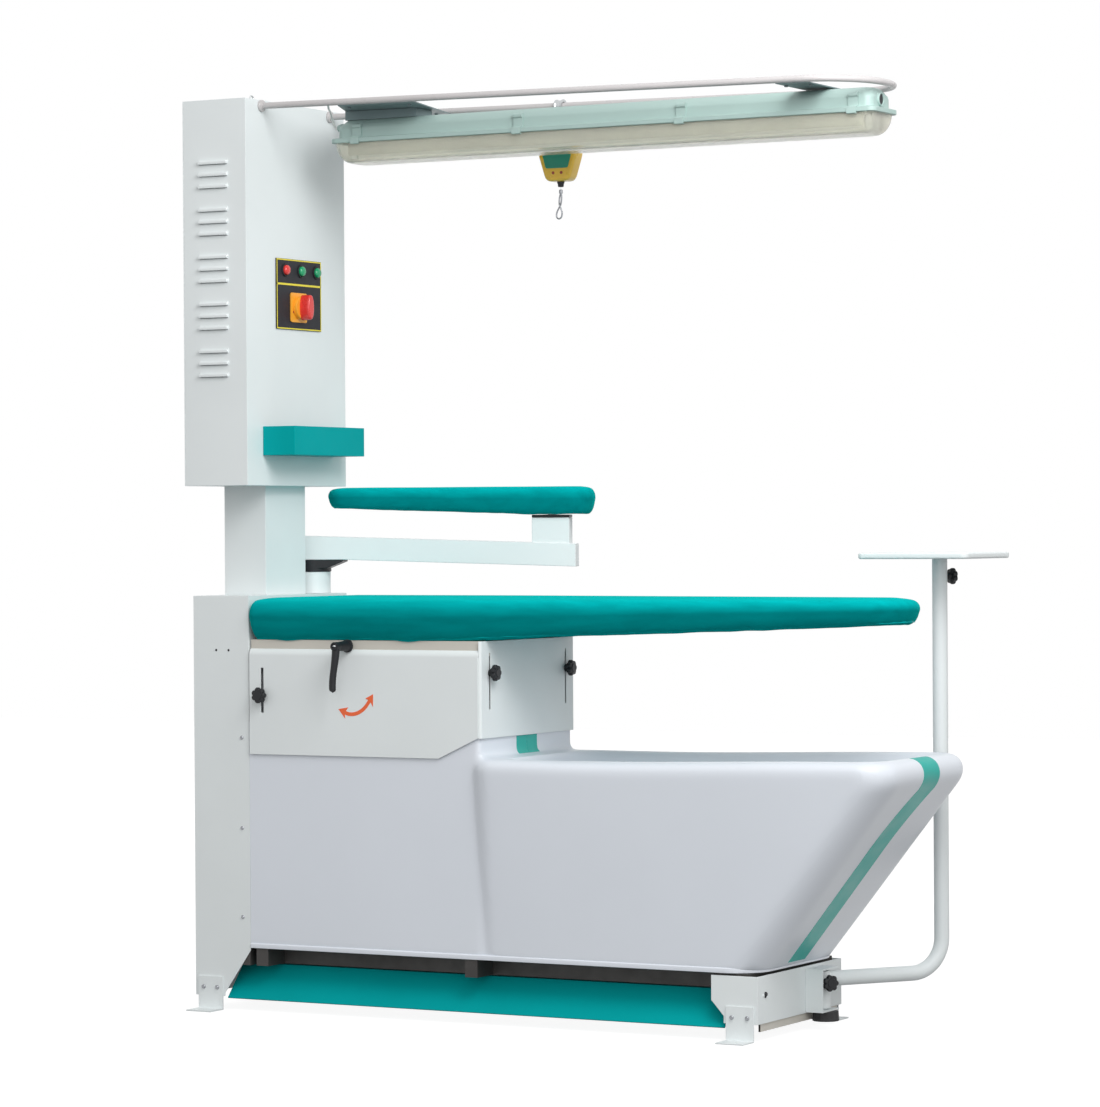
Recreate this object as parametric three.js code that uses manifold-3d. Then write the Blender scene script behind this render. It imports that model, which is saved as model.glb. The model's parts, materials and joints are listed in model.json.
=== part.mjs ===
// Industrial vacuum ironing table with a swinging sleeve board, an overhead lamp and a spring balancer.
// Millimetres. +X runs from the column to the tip of the board, +Y away from the operator, +Z up.
// The working frame has its zero at the foot of the column's front right edge; the last lines move
// the whole table so that its own origin is under the middle of its outline, on the floor.
import * as THREE from "three";
import { mergeVertices } from "three/addons/utils/BufferGeometryUtils.js";
import Module from "manifold-3d";

const wasm = await Module();
wasm.setup();

// Shared fits and fineness
const seatGap = 0.3;
const runningGap = 0.5;
const cutOver = 1;
const weldTolerance = 1e-3;
const roundSides = 24;
const smallSides = 12;
const screwSides = 8;
const cornerSteps = 5;

// Base: column, frame, feet and end bracket
const sheet = 2;
const baseDepth = 404;
const columnWidth = 143;
const columnHeight = 900;
const columnBottom = 30;
const chamferRun = 67;
const chamferTop = 133;
const chamferFoot = 37;
const columnWindow = { y0: 60, y1: 344, z0: 160, z1: 560 };
const frameBar = 30;
const frameBottom = 100;
const frameRailInset = 70;
const frameEnd = 1218;
const bracketSheet = 3;
const bracketEar = 105;
const bracketTop = 133;
const bracketBottom = 36;
const bracketChamfer = { run: 28, top: 82, foot: 51 };
const bracketHole = { y: 39, z: 93, size: 12 };
const footWidth = 63;
const footHeight = 72;
const footReach = 52;
const footSheet = 3;
const footLeftX = -134;
const footSetback = 71;
const footRightX = frameEnd - footSetback;
const footHoleRadius = 5;
const footScrew = { radius: 4, height: 2.5, inset: 14, z: 49 };
const endStrip = { drop: 16, inset: 18, sheet: 4 };

// Moulded body: a flush box under the board that opens into the catch tub
const bodyLeft = 0.6;
const bodyBottom = 138;
const bodyWall = 5;
const neckRight = 575;
const neckTop = 640;
const hemHeight = 9;
const hemProud = 2.4;
const tubLeft = 540;
const tubRim = 560;
const tubSetback = 5;
const tubFootEnd = frameEnd - tubSetback;
const tubOverhang = 336;
const tubTipEnd = tubFootEnd + tubOverhang;
const tubBulge = 23;
const tubCorner = 70;
const rimRadius = 26;
const rimRoundSteps = 4;
const troughLeft = 612;
const troughFloor = 350;
const troughLipInset = 42;
const troughWallInset = 58;
const troughFloorInset = 92;
const troughLipDrop = 18;
const troughCorner = 55;

// Suction fan in the body
const fan = { x: 210, z: 330, y0: 150, y1: 238, wall: 2.5 };
const scrollStart = 106;
const scrollEnd = 148;
const scrollSteps = 28;
const fanInlet = 58;
const impellerRadius = 96;
const impellerEye = 56;
const impellerPlate = 3;
const impellerSide = 8;
const bladeCount = 12;
const bladeThickness = 3;
const bladeLean = 0.5;
const hubRadius = 15;
const hubLength = 22;
const shaftRadius = 6;
const motorRadius = 66;
const motorLength = 132;
const motorFootWidth = 120;
const motorFins = 6;
const motorFinDepth = 4;
const fanBench = { x0: 120, x1: 300, thickness: 6 };

// Board height guide: fixed tower, sliding plenum, skirts and clamp knobs
const towerInset = 10;
const towerRight = 567;
const towerBottom = 560;
const towerTop = 768;
const boardDrop = 30;
const towerFlange = 36;
const plenumInset = 4;
const plenumRight = 577.7;
const plenumBottom = 775;
const boardUnderside = 806;
const ductBox = { x0: 130, x1: 290, y0: 60, z0: 255, z1: 740 };
const sleeveGap = 2;
const sleeveBottom = 655;
const skirtGap = 3;
const skirtBottom = 558;
const skirtRight = 574;
const skirtChamferRun = 97;
const skirtChamferRise = 45;
const skirtBendStart = 772;
const skirtBendRadius = 18;
const skirtBendAngle = 54;
const skirtBendSteps = 5;
const skirtSlot = { x: 37, z0: 648, z1: 745, width: 7 };
const endFace = 580;
const endBottom = 602;
const endReturn = 20;
const endBendRadius = 6;
const endSlot = { inset: 36, z0: 662, z1: 781, width: 6 };
const sideKnobHeight = 686;
const endKnobHeight = 739;

// Star knobs
const knobRadius = 17.5;
const knobLobes = 7;
const lobeShare = 0.11;
const knobHead = 11;
const knobNeck = 9;
const knobNeckRadius = 8;
const knobCap = 2;
const studRadius = 2.7;
const knobPoints = 42;

// Damper in the suction sleeve and its lever
const damper = { x: 255, z: 794, shaft: 6, reach: 108, thickness: 3 };
const leverBoss = { root: 12, tip: 9, disc: 14, discDepth: 5 };
const leverHeadRadius = 9.5;
const leverReach = 62;
const leverHead = 18;
const leverHandle = 98;
const leverBend = 12;
const leverBendShare = 0.75;
const leverRoot = 9;
const leverWaist = 7.6;
const leverTip = 7.5;
const leverSteps = 8;

// Board: pan with a slotted top under a padded cover
const boardLeft = 4;
const boardTip = 1487;
const boardHalf = 214;
const boardNoseHalf = 98;
const boardNose = 100;
const boardTaperStart = 470;
const boardCorner = 34;
const boardTop = 897;
const boardRise = 37;
const boardCrown = 3;
const padThickness = 12;
const coverWrap = 3;
const coverBand = 40;
const coverEdge = 14;
const noseInsetShare = 0.8;
const slotRoomShare = 0.7;
const panSheet = 3;
const coverShares = [
  { inset: 0.6, height: 0.04 },
  { inset: 0.1, height: 0.24 },
  { inset: -0.12, height: 0.5 },
  { inset: 0.12, height: 0.74 },
  { inset: 0.75, height: 0.93 },
];
const gridSlot = { length: 84, width: 14, pitch: 116, rowPitch: 92 };

// Foot pedal bar
const pedalLeft = -64;
const pedalSetback = 78;
const pedalRight = frameEnd - pedalSetback;
const pedalFront = 6;
const pedalLow = 27;
const pedalRun = 64;
const pedalHigh = 97;
const pedalFlange = 28;
const pedalSheet = 3;
const pedalAxle = { y: 118, z: 80, radius: 6 };
const pedalRibShares = [0.103, 0.701, 0.934];
const pedalRibWidth = 5;
const pedalBoss = 12;
const pedalTail = 140;
const lugLeft = -50;
const lugMiddle = 560;
const lugSetback = 32;
const axleLugs = [lugLeft, lugMiddle, frameEnd - lugSetback];
const lugWidth = 6;
const springTurns = 6;
const springPitch = 4;
const springWire = 1.4;
const springX = 574;
const springLeg = 14;
const curlSteps = 8;
const curlSides = 5;
const footSwitch = { x: 425, width: 48, depth: 24, height: 26, plunger: 3, drop: 13.6, reach: 18 };

// Mast, electrical cabinet and what it carries
const mastDepth = 162;
const mastFront = (baseDepth - mastDepth) / 2;
const mast = {
  x0: -140.4,
  width: 108,
  y0: mastFront,
  depth: mastDepth,
  wall: 3,
  foot: 620,
  flange: 4,
};
const cabinet = { width: 163, bottom: 1139.3, top: 1978 };
const louvre = { x: -121, length: 74, top: 1844, rowPitch: 26, groupPitch: 102.5 };
const louvreRows = 3;
const louvreGroups = 5;
const louvreProud = 6;
const louvreHeight = 13;
const louvreSkin = 1.4;
const panel = { y0: 116, y1: 299, z0: 1483, z1: 1638, thickness: 3, overlap: 8 };
const buttonRow = { z: 1613, first: 152, pitch: 63.5, radius: 11, bezel: 15, rim: 3, proud: 7, stem: 8 };
const domeShares = [0.92, 0.55];
const switchBox = { y: 202, z: 1532, side: 65, thickness: 3, dial: 25, dialDepth: 9 };
const switchGrip = { length: 58, width: 20, depth: 24, stem: 6 };
const rest = { y0: 62, y1: 350, depth: 82, bottom: 1205, top: 1268, wall: 3 };

// Sleeve board and its swing arm
const armSetback = 44;
const armPivot = { x: -62, y: baseDepth - armSetback };
const armTurn = 23;
const armPost = { radius: 40, top: 948, pin: 12, pinTop: 1015 };
const armBearing = { radius: 42, top: 974.7, tongue: 74, tongueHeight: 8 };
const tongueRootShare = 0.9;
const arm = {
  width: 76,
  root: 50,
  end: 598,
  bottom: 975,
  top: 1030,
  sagStart: 74,
  sagBottom: 957,
  sagTop: 1008,
};
const upperPost = { s: 542, length: 84, width: 70, top: 1066 };
const sleevePin = 10;
const sleevePinDrop = 34;
const sleeveBearingTop = 1072.7;
const sleeve = { heel: 638, length: 600, half: 60, noseHalf: 44, nose: 44, corner: 54, taperStart: 150 };
const sleeveBottomZ = 1073;
const sleeveRise = 17;
const sleeveTop = 1134;
const sleevePad = 9;
const sleeveBand = 18;

// Overhead rail, lamp and balancer
const rail = { z: 1965, half: 140, reach: 1422, tube: 7, bend: 130, flange: 13, flangeDepth: 6 };
const railSag = 0.8;
const railPlate = { near: [197, 389], far: [73, 319], thickness: 2.5 };
const railStrap = { near: [1240, 1312], far: [1240, 1312] };
const lamp = {
  x0: 125,
  x1: 1424,
  level: 1935,
  flangeZ: -47,
  flange: 10,
  bottom: -95,
  half: 62,
  wall: 2.5,
};
const lampLip = 12;
const lampBodyHalf = lamp.half - lampLip;
const lampRoofInset = 32;
const lampRoofHalf = lamp.half - lampRoofInset;
const lampShoulder = 20;
const lampCorner = 18;
const diffuserLip = 6;
const diffuserHalf = lamp.half - diffuserLip;
const diffuserFloorInset = 26;
const diffuserFloorHalf = lamp.half - diffuserFloorInset;
const diffuserEndSlope = 26;
const diffuserBevel = 10;
const clipShares = [0.0416, 0.351, 0.6497, 0.9515];
const clipWidth = 24;
const clipRise = 33;
const clipDrop = 9;
const lampTube = { radius: 13, z: -71, inset: 42 };
const lampHolder = { length: 16, half: 14 };
const lampStuds = { radius: 10, places: [245, 1296] };
const gland = { radius: 8, length: 10, y: -5, z: -14 };
const cableRadius = 2.4;
const balancerX = 590;
const hanger = { ring: 15, bore: 8.4, width: 18, strap: 3, foot: 12 };
const balancerBody = { top: 1886, bottom: 1793, depth: 36, shoulder: 47, crown: 30, foot: 29 };
const balancerShoulderDrop = 20;
const balancerWaistDrop = 36;
const balancerEdge = 5;
const nozzle = { radius: 8, length: 12, bore: 1.5 };
const pullCable = { radius: 1.1, inside: 8, below: 5 };
const hookLoop = { ferrule: 4, ferruleLength: 9, length: 54, half: 7, wire: 1.7, lean: 5, steps: 14 };
const hookWaveShares = [1, 0.24];

// Side tray on a bent tube that swings on the end bracket
const socketSetback = 179;
const socketFront = baseDepth - socketSetback;
const socketWidth = 80;
const socket = { y0: socketFront, y1: socketFront + socketWidth, z0: 38, z1: 128, depth: 40, sheet: 3 };
const pivotReach = 22;
const pivotInset = 37;
const trayPivot = { x: frameEnd + pivotReach, y: socketFront + pivotInset };
const pivotPin = 7;
const trayHub = { radius: 16.6, z0: 44, z1: 122 };
const trayTurn = 55;
const trayTube = { radius: 16, bore: 13, boreFoot: 600, z: 104.5, reach: 290, bend: 72, top: 972 };
const trayTubeSides = 14;
const bendSteps = 6;
const trayKnobHeight = 98.6;
const trayKnobStandoff = 3;
const pivotFoot = { shiftX: 5.5, shiftY: 4, radius: 28, topRadius: 26.5, z0: 18 };
const trayPost = { radius: 12.5, foot: 640, top: 973 };
const postKnobHeight = 936;
const tray = {
  width: 250,
  depth: 240,
  shiftX: -12,
  shiftY: -2,
  thickness: 13,
  corner: 14,
  edge: 3,
  rim: 8,
  floor: 6,
};

// Paints and materials
const white = new THREE.MeshStandardMaterial({ color: 0xeceff1, roughness: 0.45, metalness: 0.1 });
const moulded = new THREE.MeshStandardMaterial({ color: 0xf0f1f6, roughness: 0.35 });
const cream = new THREE.MeshStandardMaterial({ color: 0xd9d2c2, roughness: 0.6 });
const teal = new THREE.MeshStandardMaterial({ color: 0x02918b, roughness: 0.5 });
const cloth = new THREE.MeshStandardMaterial({ color: 0x008f86, roughness: 0.75 });
const black = new THREE.MeshStandardMaterial({ color: 0x17171a, roughness: 0.5 });
const red = new THREE.MeshStandardMaterial({ color: 0xd8261c, roughness: 0.35 });
const green = new THREE.MeshStandardMaterial({ color: 0x0d9a5a, roughness: 0.35 });
const yellow = new THREE.MeshStandardMaterial({ color: 0xf0a51e, roughness: 0.45 });
const steel = new THREE.MeshStandardMaterial({ color: 0x9a9fa3, roughness: 0.4, metalness: 0.8 });
const galvanised = new THREE.MeshStandardMaterial({ color: 0x8c9194, roughness: 0.55, metalness: 0.6 });
const lampGrey = new THREE.MeshStandardMaterial({ color: 0xa9c4bf, roughness: 0.5 });
const clearPlastic = new THREE.MeshStandardMaterial({ color: 0xece9d2, roughness: 0.15 });
const glassWhite = new THREE.MeshStandardMaterial({ color: 0xffffff, roughness: 0.2 });

// Solids from three.js geometry, joined and cut
function solid(geometry) {
  const bare = geometry.index ? geometry.toNonIndexed() : geometry.clone();
  for (const name of Object.keys(bare.attributes)) {
    if (name !== "position") bare.deleteAttribute(name);
  }
  const merged = mergeVertices(bare, weldTolerance);
  const vertProperties = merged.attributes.position.array;
  const triVerts = new Uint32Array(merged.index.array);
  return new wasm.Manifold(new wasm.Mesh({ numProp: 3, vertProperties, triVerts }));
}

function joined(pieces) {
  return pieces.reduce((whole, piece) => whole.add(piece));
}

function cutBy(body, tools) {
  return tools.reduce((rest, tool) => rest.subtract(tool), body);
}

function part(name, body, material) {
  const data = body.getMesh();
  const geometry = new THREE.BufferGeometry();
  geometry.setAttribute("position", new THREE.BufferAttribute(data.vertProperties, 3));
  geometry.setIndex(new THREE.BufferAttribute(data.triVerts, 1));
  geometry.computeVertexNormals();
  const mesh = new THREE.Mesh(geometry, material);
  mesh.name = name;
  return mesh;
}

function group(x, y, z, members) {
  const made = new THREE.Group();
  made.position.set(x, y, z);
  made.add(...members);
  return made;
}

function radians(degrees) {
  return THREE.MathUtils.degToRad(degrees);
}

function block([x0, x1], [y0, y1], [z0, z1]) {
  const box = new THREE.BoxGeometry(x1 - x0, y1 - y0, z1 - z0);
  return solid(box.translate((x0 + x1) / 2, (y0 + y1) / 2, (z0 + z1) / 2));
}

// Lays an outline drawn in the plane square to an axis: x takes (y, z), y takes (x, z), z takes (x, y)
const frames = {
  x: [new THREE.Vector3(0, 1, 0), new THREE.Vector3(0, 0, 1), new THREE.Vector3(1, 0, 0)],
  y: [new THREE.Vector3(1, 0, 0), new THREE.Vector3(0, 0, 1), new THREE.Vector3(0, -1, 0)],
  z: [new THREE.Vector3(1, 0, 0), new THREE.Vector3(0, 1, 0), new THREE.Vector3(0, 0, 1)],
};

function prism(axis, outline, from, to) {
  const shape = new THREE.Shape(outline.map(([u, v]) => new THREE.Vector2(u, v)));
  const bar = new THREE.ExtrudeGeometry(shape, { depth: to - from, bevelEnabled: false });
  const start = axis === "y" ? to : from;
  const place = new THREE.Matrix4().makeBasis(...frames[axis]);
  place.setPosition(axis === "x" ? start : 0, axis === "y" ? start : 0, axis === "z" ? start : 0);
  return solid(bar.applyMatrix4(place));
}

// A round bar along an axis: centre is (y, z) for x, (x, z) for y and (x, y) for z
function rod(axis, [u, v], from, to, radius, sides = smallSides, endRadius = radius) {
  const bar = new THREE.CylinderGeometry(endRadius, radius, to - from, sides);
  const middle = (from + to) / 2;
  if (axis === "x") bar.rotateZ(-Math.PI / 2).translate(middle, u, v);
  if (axis === "y") bar.translate(u, middle, v);
  if (axis === "z") bar.rotateX(Math.PI / 2).translate(u, v, middle);
  return solid(bar);
}

function arc(cx, cy, radius, fromDegrees, toDegrees, steps) {
  return Array.from({ length: steps + 1 }, (_, i) => {
    const a = radians(fromDegrees + ((toDegrees - fromDegrees) * i) / steps);
    return [cx + radius * Math.cos(a), cy + radius * Math.sin(a)];
  });
}

// A rounded rectangle at one height, as points for a loft
function roundedRing(x0, x1, y0, y1, radius, z, steps = cornerSteps) {
  const r = Math.min(radius, (x1 - x0) / 2 - cutOver, (y1 - y0) / 2 - cutOver);
  const corners = [
    arc(x1 - r, y0 + r, r, -90, 0, steps),
    arc(x1 - r, y1 - r, r, 0, 90, steps),
    arc(x0 + r, y1 - r, r, 90, 180, steps),
    arc(x0 + r, y0 + r, r, 180, 270, steps),
  ];
  return corners.flat().map(([x, y]) => new THREE.Vector3(x, y, z));
}

// A closed skin through stacked rings that run anticlockwise seen from above, lowest ring first
function loft(rings) {
  const count = rings[0].length;
  const middle = (ring) =>
    ring.reduce((sum, p) => sum.add(p), new THREE.Vector3()).divideScalar(count);
  const points = [...rings.flat(), middle(rings[0]), middle(rings[rings.length - 1])];
  const foot = rings.length * count;
  const head = foot + 1;
  const top = foot - count;
  const faces = [];
  for (let i = 0; i < count; i++) {
    const next = (i + 1) % count;
    for (let r = 0; r + 1 < rings.length; r++) {
      const low = r * count;
      const high = low + count;
      faces.push(low + i, low + next, high + next, low + i, high + next, high + i);
    }
    faces.push(foot, next, i, head, top + i, top + next);
  }
  return solid(skin(points, faces));
}

function skin(points, faces) {
  const geometry = new THREE.BufferGeometry().setFromPoints(points);
  geometry.setIndex(faces);
  return geometry;
}

// A path through given points; each point becomes one section of the tube
class PointPath extends THREE.Curve {
  constructor(points) {
    super();
    this.points = points;
  }
  getPoint(t) {
    const last = this.points.length - 1;
    const at = Math.min(Math.round(t * last), last);
    return this.points[at].clone();
  }
  getPointAt(t) {
    return this.getPoint(t);
  }
  getTangentAt(t) {
    const last = this.points.length - 1;
    const at = Math.min(Math.round(t * last), last);
    const before = this.points[Math.max(at - 1, 0)];
    const after = this.points[Math.min(at + 1, last)];
    const here = this.points[at];
    const incoming = here.clone().sub(before).normalize();
    const outgoing = after.clone().sub(here).normalize();
    return incoming.add(outgoing).normalize();
  }
}

function tube(points, radius, sides) {
  const ring = Array.from({ length: sides }, (_, i) => {
    const a = (2 * Math.PI * i) / sides;
    return new THREE.Vector2(radius * Math.cos(a), radius * Math.sin(a));
  });
  const options = { steps: points.length - 1, bevelEnabled: false, extrudePath: new PointPath(points) };
  return solid(new THREE.ExtrudeGeometry(new THREE.Shape(ring), options));
}

// Rounds each inner corner of a route with an arc of the given radius
function bent(corners, radius, steps = bendSteps) {
  const route = [corners[0]];
  for (let i = 1; i + 1 < corners.length; i++) {
    const here = corners[i];
    const back = corners[i - 1].clone().sub(here).normalize();
    const on = corners[i + 1].clone().sub(here).normalize();
    const half = back.angleTo(on) / 2;
    const centre = back.clone().add(on).normalize().multiplyScalar(radius / Math.sin(half)).add(here);
    const start = back.clone().multiplyScalar(radius / Math.tan(half)).add(here).sub(centre);
    const end = on.clone().multiplyScalar(radius / Math.tan(half)).add(here).sub(centre);
    const axis = start.clone().cross(end).normalize();
    const sweep = start.angleTo(end);
    for (let k = 0; k <= steps; k++) {
      route.push(start.clone().applyAxisAngle(axis, (sweep * k) / steps).add(centre));
    }
  }
  route.push(corners[corners.length - 1]);
  return route;
}

function point(x, y, z) {
  return new THREE.Vector3(x, y, z);
}

// A sheet box: outer block less an inner block, each side open or walled
function shellBox(x, y, z, wall, open = {}) {
  const inner = (range, low, high) => [
    range[0] + (low ? -cutOver : wall),
    range[1] + (high ? cutOver : -wall),
  ];
  const hollow = block(
    inner(x, open.left, open.right),
    inner(y, open.front, open.back),
    inner(z, open.bottom, open.top),
  );
  return block(x, y, z).subtract(hollow);
}

// Welded frame of square bars with the pedal axle
function baseFrame() {
  const far = baseDepth - frameRailInset;
  const railTop = frameBottom + frameBar;
  const left = -columnWidth + sheet + seatGap;
  const right = frameEnd - bracketSheet - seatGap;
  const crossTop = bodyBottom - seatGap;
  const crossBars = [towerInset + towerFlange / 2, towerRight - towerFlange / 2, tubFootEnd - frameBar];
  const cornerY = [
    [sheet + seatGap, sheet + seatGap + frameBar],
    [baseDepth - sheet - seatGap - frameBar, baseDepth - sheet - seatGap],
  ];
  const columnX = [
    [left, left + frameBar],
    [-sheet - seatGap - frameBar, -sheet - seatGap],
  ];
  const acrossColumn = [cornerY[0][0], cornerY[1][1]];
  const acrossBody = [bracketSheet + seatGap, baseDepth - bracketSheet - seatGap];
  const bars = [
    block([left, right], [frameRailInset, frameRailInset + frameBar], [frameBottom, railTop]),
    block([left, right], [far - frameBar, far], [frameBottom, railTop]),
  ];
  for (const x of columnX) {
    bars.push(block(x, acrossColumn, [frameBottom, railTop]));
    for (const y of cornerY) bars.push(block(x, y, [frameBottom, columnHeight - sheet - seatGap]));
  }
  for (const y of cornerY) {
    bars.push(block([left, -sheet - seatGap], y, [mast.foot - frameBar, mast.foot - seatGap]));
  }
  const mastRight = columnX[1][0];
  for (const x of [[left, left + frameBar], [mastRight - frameBar, mastRight]]) {
    bars.push(block(x, acrossColumn, [mast.foot - frameBar, mast.foot - seatGap]));
  }
  for (const x of crossBars) {
    const span = [x - frameBar / 2, x + frameBar / 2];
    bars.push(block(span, acrossBody, [frameBottom, crossTop]));
  }
  const posts = crossBars.slice(0, 2);
  for (const x of posts) {
    for (const y of [towerInset + sheet, baseDepth - towerInset - sheet - frameBar]) {
      const top = towerBottom - seatGap;
      bars.push(block([x - frameBar / 2, x + frameBar / 2], [y, y + frameBar], [frameBottom, top]));
    }
  }
  const bench = [frameBottom + frameBar - cutOver, frameBottom + frameBar + fanBench.thickness];
  bars.push(block([fanBench.x0, fanBench.x1], [frameRailInset, far], bench));
  bars.push(block([right - frameBar, right], [frameRailInset, far], [bracketBottom, railTop]));
  const strip = {
    x: [right - endStrip.sheet, right],
    y: [endStrip.inset, baseDepth - endStrip.inset],
    z: [bracketBottom - endStrip.drop, bracketBottom + frameBar],
  };
  bars.push(block(strip.x, strip.y, strip.z));
  for (const x of axleLugs) {
    const lug = [x - lugWidth / 2, x + lugWidth / 2];
    const lugBack = pedalAxle.y + pedalBoss;
    bars.push(block(lug, [frameRailInset + frameBar - cutOver, lugBack], [frameBottom, railTop]));
    bars.push(block(lug, [pedalAxle.y - pedalBoss, lugBack], [pedalAxle.z - pedalBoss, railTop]));
  }
  const axleEnds = [axleLugs[0] - lugWidth, axleLugs[axleLugs.length - 1] + lugWidth];
  bars.push(rod("x", [pedalAxle.y, pedalAxle.z], ...axleEnds, pedalAxle.radius));
  return part("base_frame", joined(bars), galvanised);
}

function columnHousing() {
  const outline = [
    [-columnWidth, columnBottom],
    [-chamferRun, columnBottom],
    [-chamferRun, chamferFoot],
    [0, chamferTop],
    [0, columnHeight],
    [-columnWidth, columnHeight],
  ];
  const inside = block(
    [-columnWidth + sheet, -sheet],
    [sheet, baseDepth - sheet],
    [columnBottom - cutOver, columnHeight - sheet],
  );
  const sideCut = block(
    [-sheet - cutOver, cutOver],
    [sheet, baseDepth - sheet],
    [columnBottom - cutOver, chamferTop + frameBar],
  );
  const window = block(
    [-sheet - cutOver, cutOver],
    [columnWindow.y0, columnWindow.y1],
    [columnWindow.z0, columnWindow.z1],
  );
  const mastHole = block(
    [mast.x0 - seatGap, mast.x0 + mast.width + seatGap],
    [mast.y0 - seatGap, mast.y0 + mast.depth + seatGap],
    [columnHeight - sheet - cutOver, columnHeight + cutOver],
  );
  const body = cutBy(prism("y", outline, 0, baseDepth), [inside, sideCut, window, mastHole]);
  return part("column_housing", body, white);
}

// Floor brackets: an upright leaf screwed to the base and a leaf on the floor
function foot(name, x, outward) {
  const face = outward < 0 ? -seatGap : baseDepth + seatGap;
  const leaf = [face, face + outward * footSheet].sort((a, b) => a - b);
  const reach = [face, face + outward * footReach].sort((a, b) => a - b);
  const flange = block([x, x + footWidth], reach, [0, footSheet]);
  const upright = block([x, x + footWidth], leaf, [0, footHeight]);
  const holeY = face + (outward * footReach) / 2;
  const holeZ = [-cutOver, footSheet + cutOver];
  const hole = rod("z", [x + footWidth / 2, holeY], ...holeZ, footHoleRadius, screwSides);
  const screws = [x + footScrew.inset, x + footWidth - footScrew.inset].map((at) => {
    const head = leaf.map((y) => y + outward * footScrew.height);
    return rod("y", [at, footScrew.z], ...head, footScrew.radius, screwSides);
  });
  return part(name, joined([flange, upright, ...screws]).subtract(hole), white);
}

function endBracket() {
  const start = frameEnd - bracketEar;
  const outline = [
    [start, bracketTop],
    [start, bracketChamfer.top],
    [start + bracketChamfer.run, bracketChamfer.foot],
    [start + bracketChamfer.run, bracketBottom],
    [frameEnd, bracketBottom],
    [frameEnd, bracketTop],
  ];
  const plate = block([frameEnd - bracketSheet, frameEnd], [0, baseDepth], [bracketBottom, bracketTop]);
  const half = bracketHole.size / 2;
  const hole = block(
    [frameEnd - bracketSheet - cutOver, frameEnd + cutOver],
    [bracketHole.y - half, bracketHole.y + half],
    [bracketHole.z - half, bracketHole.z + half],
  );
  const ears = [0, baseDepth - bracketSheet].map((y) => prism("y", outline, y, y + bracketSheet));
  return part("end_bracket", joined([plate, ...ears]).subtract(hole), white);
}

// Outline of the tub at a height, drawn in by an inset
function tubRing(z, inset, corner, left = tubLeft) {
  const rise = THREE.MathUtils.clamp((z - bodyBottom) / (tubRim - bodyBottom), 0, 1);
  const end = tubFootEnd + (tubTipEnd - tubFootEnd) * rise;
  const swell = tubBulge * rise;
  const y = [-swell + inset, baseDepth + swell - inset];
  return roundedRing(left + inset, end - inset, ...y, corner - inset, z);
}

function troughRing(z, inset, grow, share) {
  const left = troughLeft - grow + (troughFloorInset - troughWallInset) * share;
  const rise = (z - bodyBottom) / (tubRim - bodyBottom);
  const end = tubFootEnd + (tubTipEnd - tubFootEnd) * rise - inset + grow;
  const swell = tubBulge * Math.min(rise, 1) - inset + grow;
  return roundedRing(left, end, -swell, baseDepth + swell, troughCorner + grow, z);
}

function trough(grow, top) {
  const wallTop = tubRim - troughLipDrop;
  const lip = troughLipInset + (troughWallInset - troughLipInset) / 3;
  return loft([
    troughRing(troughFloor - grow, troughFloorInset, grow, 1),
    troughRing(wallTop, troughWallInset, grow, 0),
    troughRing(tubRim - troughLipDrop / 3, lip, grow, 0),
    troughRing(top, troughLipInset, grow, 0),
  ]);
}

// The moulding: box and tub joined, then hollowed from above and from below
function bodyShell() {
  const rim = arc(0, tubRim - rimRadius, rimRadius, 0, 90, rimRoundSteps);
  const tub = loft([
    tubRing(bodyBottom, -hemProud, tubCorner),
    tubRing(bodyBottom + hemHeight, -hemProud, tubCorner),
    tubRing(bodyBottom + hemHeight + hemProud, 0, tubCorner),
    ...rim.map(([across, z]) => tubRing(z, rimRadius - across, tubCorner)),
  ]);
  const box = block([bodyLeft, neckRight], [0, baseDepth], [bodyBottom, neckTop]);
  const hemEnd = tubLeft + tubCorner;
  const hem = [-hemProud, baseDepth].map((y) =>
    block([bodyLeft, hemEnd], [y, y + hemProud], [bodyBottom, bodyBottom + hemHeight]),
  );
  const boxHollow = block(
    [bodyLeft - cutOver, neckRight - bodyWall],
    [bodyWall, baseDepth - bodyWall],
    [bodyBottom - cutOver, neckTop + cutOver],
  );
  const shoulder = tubRim - rimRadius;
  const tubHollow = loft([
    tubRing(bodyBottom - cutOver, bodyWall, tubCorner),
    tubRing(shoulder, bodyWall, tubCorner),
    tubRing(shoulder + rimRadius / 2, rimRadius / 2 + bodyWall / 2, tubCorner),
  ]).subtract(trough(bodyWall, tubRim + cutOver));
  const body = cutBy(joined([tub, box, ...hem]), [trough(0, tubRim + cutOver), boxHollow, tubHollow]);
  return part("body_shell", body, moulded);
}

// Scroll of the blower, seen from the front, with a straight outlet towards the column
function scroll(offset, [from, to]) {
  const spiral = Array.from({ length: scrollSteps + 1 }, (_, i) => {
    const share = i / scrollSteps;
    const a = Math.PI / 2 - 2 * Math.PI * share;
    const r = scrollEnd + (scrollStart - scrollEnd) * share + offset;
    return [fan.x + r * Math.cos(a), fan.z + r * Math.sin(a)];
  });
  const outletLow = fan.z + scrollStart - offset;
  const outletHigh = fan.z + scrollEnd + offset;
  const left = bodyWall + seatGap - (offset ? 0 : cutOver);
  const outlet = block([left, fan.x], [from, to], [outletLow, outletHigh]);
  return prism("y", spiral.reverse(), from, to).add(outlet);
}

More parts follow.
